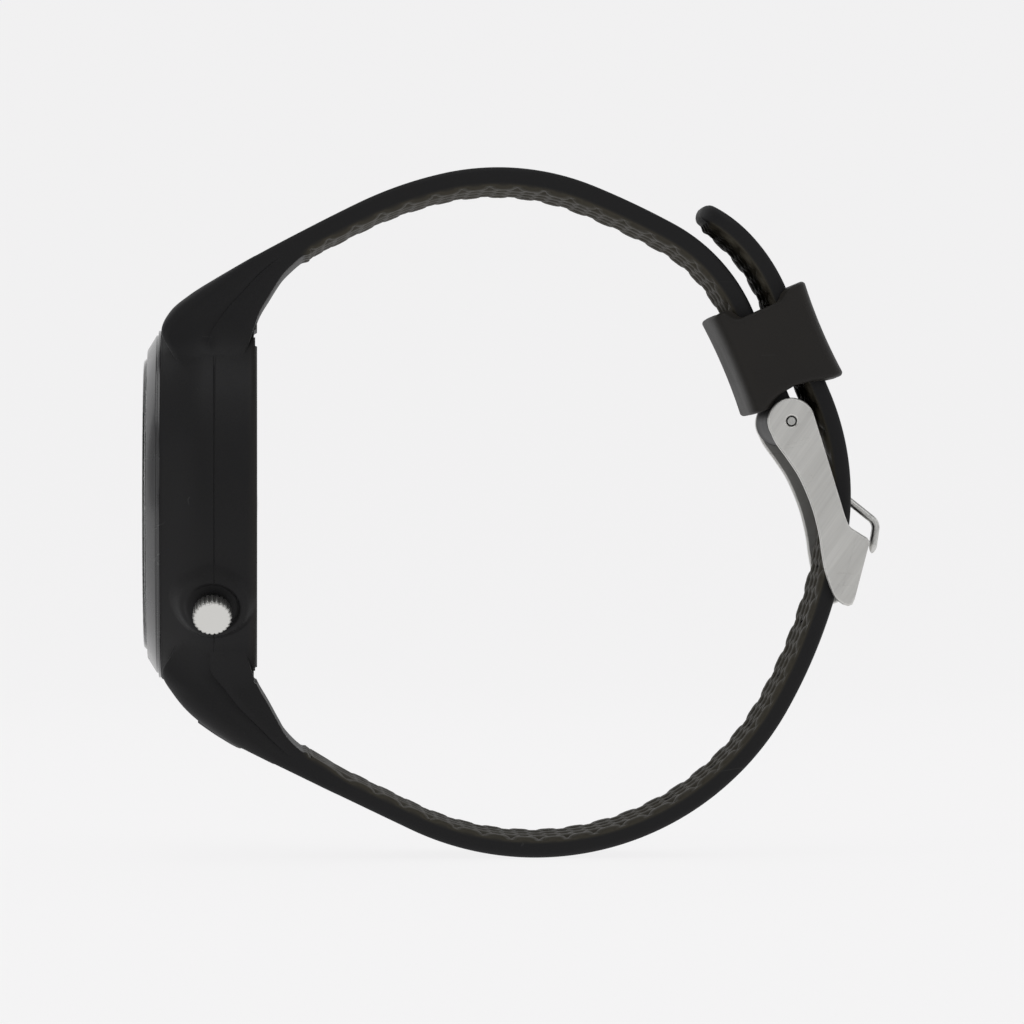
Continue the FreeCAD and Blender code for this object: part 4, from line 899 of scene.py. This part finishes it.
def turned_ring(name, corners, radius, body, replaced):
    """A ring turned about the case axis from its eased profile."""
    profile = eased(corners, radius)
    made = piece(name, around(profile, ROUND_TURNS).reshape(-1, 3),
                 quads(len(ROUND_TURNS), len(profile), ring_rows=True), body, replaced)
    made.data.set_sharp_from_angle(angle=math.radians(35))
    return made


bezel = turned_ring("bezel_coated", [
    (14.9, 37.2), (16.95, 37.2), (16.95, 36.4), (17.6, 36.4), (17.6, 37.6), (18.6, 37.6), (18.6, 37.9),
    (18.1, 37.9), (18.1, 38.12), (16.5, 39.1), (15.9, 39.1), (15.9, 37.9), (14.9, 37.9)], 0.07, "band",
    ["bezel_ring"])
COATING = (0.022, 0.022, 0.023)
BEZEL_BLACK, tree, shader, place = material("bezel_coating", COATING, 0.25, 0.0, Specular_IOR_Level=0.6,
                                            Coat_Weight=0.3, Coat_Roughness=0.12)
surface = use(tree, skin, place, Grain=3000.0, Cloud=160.0)
lines = use(tree, scratch, place, Scale=190.0, Width=0.008, Cover=0.58)
feed(tree, shader, Roughness=plus(tree, between(tree, surface["Rub"], 0.2, 0.32), times(tree, lines["Mask"], 0.2)),
     Base_Color=mixed(tree, times(tree, lines["Mask"], 0.5), COATING, (0.08, 0.08, 0.08)))
bumped(tree, shader, surface["Height"], 0.000004)
bezel.data.materials.append(BEZEL_BLACK)

LENS_TOP, LENS_CROWN = 39.5, 0.02
dome = [(r, LENS_TOP + LENS_CROWN * (1 - (r / 15.3) ** 2)) for r in np.linspace(15.2, 0.02, 16)]
lens_profile = np.array([(0.02, 37.9), (15.5, 37.9), (15.6, 38.0), (15.6, 39.15), (15.57, 39.24), (15.42, 39.42),
                         (15.3, 39.49)] + dome)
crystal = piece("crystal", around(lens_profile, ROUND_TURNS).reshape(-1, 3),
                spindle(len(ROUND_TURNS), len(lens_profile)), "band", ["lens"])
crystal.data.set_sharp_from_angle(angle=math.radians(30))
CRYSTAL, tree, shader, place = material("crystal_glass", (0.97, 0.98, 0.98), 0.02, Transmission_Weight=1.0,
                                        IOR=1.5)
smear = use(tree, skin, place, Grain=900.0, Cloud=90.0)
feed(tree, shader, Roughness=between(tree, smear["Rub"], 0.015, 0.06))
crystal.data.materials.append(CRYSTAL)

# ---- Dial and display -----------------------------------------------------------------------------
# Under the crystal a satin black ring with raised minute ticks frames the dark display, which shows
# three activity rings and two hands.

DISPLAY_LEVEL = 36.45
RING_INNER, RING_WIDTH, RING_RISE = 13.6, 14.9 - 13.6, 37.2 - 36.45     # the sloped ring round the display
tick_points, tick_faces = [], []
for minute in range(60):
    long_one = minute % 5 == 0
    angle = 2 * math.pi * minute / 60
    long, wide, corner, middle = (1.15, 0.34, 0.07, 14.35) if long_one else (0.6, 0.16, 0.05, 14.6)
    outline = rounded_box(long, wide, corner, 3)
    r, s = outline[:, 0] + middle, outline[:, 1]
    slope = DISPLAY_LEVEL + (r - RING_INNER) * RING_RISE / RING_WIDTH
    count = len(outline)
    base = len(tick_points)
    for up in (-0.03, 0.05):
        tick_points += np.column_stack([r * np.cos(angle) - s * np.sin(angle), -(slope + up),
                                        CASE_RISE + r * np.sin(angle) + s * np.cos(angle)]).tolist()
    tick_faces += [[base + i for i in face] for face in tube(2, count)]
ticks = piece("dial_ticks", tick_points, tick_faces, "band", smooth=False)


def glow(name, colour, strength):
    """A lit part of the display, a little uneven from cell to cell."""
    made, tree, shader, place = material(name, colour, 0.5)
    cells = add(tree, "TexVoronoi", Vector=place, Scale=5200.0)
    edges = between(tree, cells.outputs["Distance"], 0.0, 0.5)
    feed(tree, shader, Emission_Strength=strength,
         Emission_Color=mixed(tree, edges, colour, tuple(0.7 * c for c in colour)),
         Roughness=between(tree, cells.outputs["Distance"], 0.4, 0.6))
    return made


ticks.data.materials.append(glow("dial_paint", (0.75, 0.76, 0.74), 0.0))

RING_COLOURS = [("teal", (0.05, 0.55, 0.45)), ("amber", (0.75, 0.38, 0.05)), ("blue", (0.08, 0.25, 0.75))]
for order, (label, colour) in enumerate(RING_COLOURS):
    radius = 11.6 - 1.9 * order
    swept = np.linspace(math.pi / 2, math.pi / 2 - 2 * math.pi * (0.82, 0.64, 0.71)[order], 120)
    ring_profile = eased([(radius - 0.6, DISPLAY_LEVEL), (radius + 0.6, DISPLAY_LEVEL),
                          (radius + 0.6, DISPLAY_LEVEL + 0.06), (radius - 0.6, DISPLAY_LEVEL + 0.06)], 0.03)
    rows = around(ring_profile, swept)
    count = len(ring_profile)
    arc = piece("display_ring_" + label, rows.reshape(-1, 3), tube(len(swept), count), "band",
                smooth=False)
    arc.data.materials.append(glow("display_" + label, colour, 1.2))

for label, angle, long, wide in (("hour", 150, 6.2, 0.9), ("minute", 36, 10.2, 0.6)):
    outline = rounded_box(long, wide, wide * 0.49, 8) + np.array([long / 2 - 1.2, 0])
    a = math.radians(angle)
    hand = prism("display_%s_hand" % label, outline, DISPLAY_LEVEL + 0.02, DISPLAY_LEVEL + 0.12,
                 lambda flat: np.stack([flat[:, 0] * math.cos(a) - flat[:, 1] * math.sin(a), -flat[:, 2], CASE_RISE
                                        + flat[:, 0] * math.sin(a) + flat[:, 1] * math.cos(a)], axis=-1))
    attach(hand, "band")
    hand.data.materials.append(glow("display_%s_hand" % label, (0.85, 0.86, 0.84), 1.0))

# ---- Case back, housing and the pieces inside -----------------------------------------------------
# These stay as they are made. Each gets the finish of its real material: brushed or plain steel, green
# circuit board, moulded chips, gold contacts, the battery's can and the tinted sensor window.


def finish(names, made):
    """Gives whole pieces one material."""
    for name in names:
        nodes[name].data.materials.clear()
        nodes[name].data.materials.append(made)


back, tree, shader, place = material("back_steel", (0.56, 0.555, 0.54), 0.35, 1.0)
centred = add(tree, "Mapping", Vector=place, Location=(0, 0, -CASE_RISE * MM))
split = add(tree, "SeparateXYZ", Vector=centred.outputs[0])
ring = from_line(tree, split.outputs[0], split.outputs[2])
rings = add(tree, "TexNoise", Vector=add(tree, "CombineXYZ", X=ring).outputs[0], Scale=5200.0, Detail=3.0)
lines = use(tree, scratch, place, Scale=150.0, Width=0.012, Cover=0.55)
rough = between(tree, rings.outputs["Fac"], 0.26, 0.46)
feed(tree, shader, Roughness=plus(tree, rough, times(tree, lines["Mask"], 0.2)),
     Base_Color=mixed(tree, rings.outputs["Fac"], (0.4, 0.395, 0.385), (0.6, 0.595, 0.58)))
bumped(tree, shader, rings.outputs["Fac"], 0.00001)
finish(["case_back"], back)

finish(["crown_stem", "crown_tube", "stem_clip", "stem_collar", "crown_spring", "spring_bar_tube",
        "spring_bar_pins", "spring_bar_spring", "motor_shaft", "motor_case", "motor_rotor", "case_back_screws",
        "board_screws"], brushed("plain_steel", (0.6, 0.6, 0.58), (0.42, 0.42, 0.4), 0.34, 0.0, 3200.0))


def speckled(name, colour, other, roughness, metallic=0.0, grain=2500.0, relief=0.00001, **sockets):
    """A moulded or coated finish: colour drifts to another in patches, over a fine grain."""
    made, tree, shader, place = material(name, colour, roughness, metallic, **sockets)
    surface = use(tree, skin, place, Grain=grain, Cloud=260.0)
    feed(tree, shader, Base_Color=mixed(tree, surface["Rub"], colour, other),
         Roughness=between(tree, surface["Rub"], roughness - 0.06, roughness + 0.08))
    bumped(tree, shader, surface["Height"], relief)
    return made


finish(["lens_gasket", "case_back_gasket", "crown_seals"],
       speckled("seal_rubber", (0.012, 0.012, 0.012), (0.02, 0.02, 0.02), 0.6))
finish(["dial_ring"], speckled("dial_satin", (0.008, 0.008, 0.009), (0.014, 0.014, 0.015), 0.42, grain=4200.0))
finish(["display_panel"], speckled("display_glass", (0.003, 0.003, 0.004), (0.005, 0.005, 0.006), 0.16,
                                   relief=0.000001, Coat_Weight=0.6, Coat_Roughness=0.05))
finish(["display_frame", "module_case", "battery_tray", "crown_switch", "switch_plunger"],
       speckled("filled_plastic", (0.016, 0.016, 0.017), (0.026, 0.026, 0.027), 0.5, grain=1500.0))
finish(["processor_chip", "radio_chip", "motion_chip", "board_connector"],
       speckled("chip_moulding", (0.018, 0.018, 0.018), (0.03, 0.03, 0.03), 0.45, grain=6000.0))
finish(["display_flex"], speckled("amber_flex", (0.42, 0.19, 0.03), (0.5, 0.26, 0.05), 0.3))
finish(["battery_cell"], speckled("battery_can", (0.6, 0.6, 0.6), (0.5, 0.5, 0.5), 0.35, 1.0))
finish(["battery_tabs", "charge_pins"], speckled("gold_plate", (0.78, 0.56, 0.2), (0.7, 0.48, 0.16), 0.28, 1.0))
finish(["sensor_window"], speckled("sensor_glass", (0.006, 0.006, 0.008), (0.01, 0.01, 0.012), 0.08,
                                   relief=0.0000005, Coat_Weight=0.8, Coat_Roughness=0.03))

board, tree, shader, place = material("circuit_board", (0.01, 0.09, 0.045), 0.35)
tracks = add(tree, "TexBrick", Vector=place, Scale=420.0)
surface = use(tree, skin, place, Grain=3000.0, Cloud=300.0)
feed(tree, shader, Base_Color=mixed(tree, tracks.outputs["Fac"], (0.008, 0.075, 0.038), (0.02, 0.14, 0.07)),
     Roughness=between(tree, surface["Rub"], 0.28, 0.42))
bumped(tree, shader, tracks.outputs["Fac"], 0.00001)
finish(["main_board", "sensor_board"], board)

# ---- Studio ---------------------------------------------------------------------------------------
# A pale seamless sweep behind and below, even light from all sides, and a long lens level with the
# middle of the loop, looking at the crown side.

SHOT_DISTANCE = 750.0
SHOT_SIDE = -28.2
FRAME_WIDTH = 110.1075          # width of the picture at the object
SENSOR = 36.0
floor_level = cad_box[0][2] / MM

SWEEP_BEND = 500.0              # radius of the bend from floor to wall
bend = np.linspace(0, math.pi / 2, 14)[1:]
sweep_x = np.concatenate([np.linspace(900, -SWEEP_BEND, 8), -SWEEP_BEND - SWEEP_BEND * np.sin(bend), [-1000.0]])
sweep_z = np.concatenate([np.full(8, 0.0), SWEEP_BEND - SWEEP_BEND * np.cos(bend), [1500.0 - floor_level]])
lines = (sweep_x[:, None], np.linspace(-1500, 1500, 5), sweep_z[:, None] + floor_level)
points = np.stack([np.broadcast_to(line, (22, 5)) for line in lines], axis=-1)
mesh = bpy.data.meshes.new("studio_sweep")
mesh.from_pydata((points.reshape(-1, 3) * MM).tolist(), [], quads(22, 5, ring_columns=False))
mesh.shade_smooth()
linked("studio_sweep", mesh)
paper, tree, shader, place = material("paper", (0.06, 0.06, 0.06), 0.95, Specular_IOR_Level=0.05)
feed(tree, shader, Emission_Color=(0.98, 0.975, 0.98, 1), Emission_Strength=0.865)
mesh.materials.append(paper)

world = bpy.data.worlds.new("studio")
world.use_nodes = True
feed(world.node_tree, world.node_tree.nodes["Background"], Color=(0.9, 0.9, 0.91, 1), Strength=0.3)
bpy.context.scene.world = world


def soft_light(name, at, aim, size, power):
    """A square soft box in millimetres from the origin, pointed at aim."""
    lamp = bpy.data.lights.new(name, "AREA")
    lamp.shape, lamp.size, lamp.energy = "SQUARE", size * MM, power
    facing = (Vector(aim) - Vector(at)).to_track_quat("-Z", "Y").to_matrix().to_4x4()
    linked(name, lamp).matrix_world = Matrix.Translation(Vector(at) * MM) @ facing


soft_light("top_box", (150, -60, 620), (0, 0, 0), 500, 1.1)
soft_light("front_box", (300, -620, 160), (0, -20, 0), 420, 0.7)
soft_light("side_box", (760, 260, 330), (0, 10, 0), 380, 0.7)
soft_light("rear_box", (100, 640, 260), (0, 0, 0), 420, 0.6)

camera = bpy.data.cameras.new("camera")
camera.sensor_width = SENSOR
camera.lens = SHOT_DISTANCE * SENSOR / FRAME_WIDTH
camera.clip_start = 0.05
shooter = linked("camera", camera)
yaw = math.asin(SHOT_SIDE / SHOT_DISTANCE)
shooter.location = (SHOT_DISTANCE * math.cos(yaw) * MM, SHOT_SIDE * MM, 0)
shooter.rotation_euler = (math.pi / 2, 0, math.pi / 2 + yaw)
bpy.context.scene.camera = shooter
bpy.context.scene.view_settings.view_transform = "Standard"
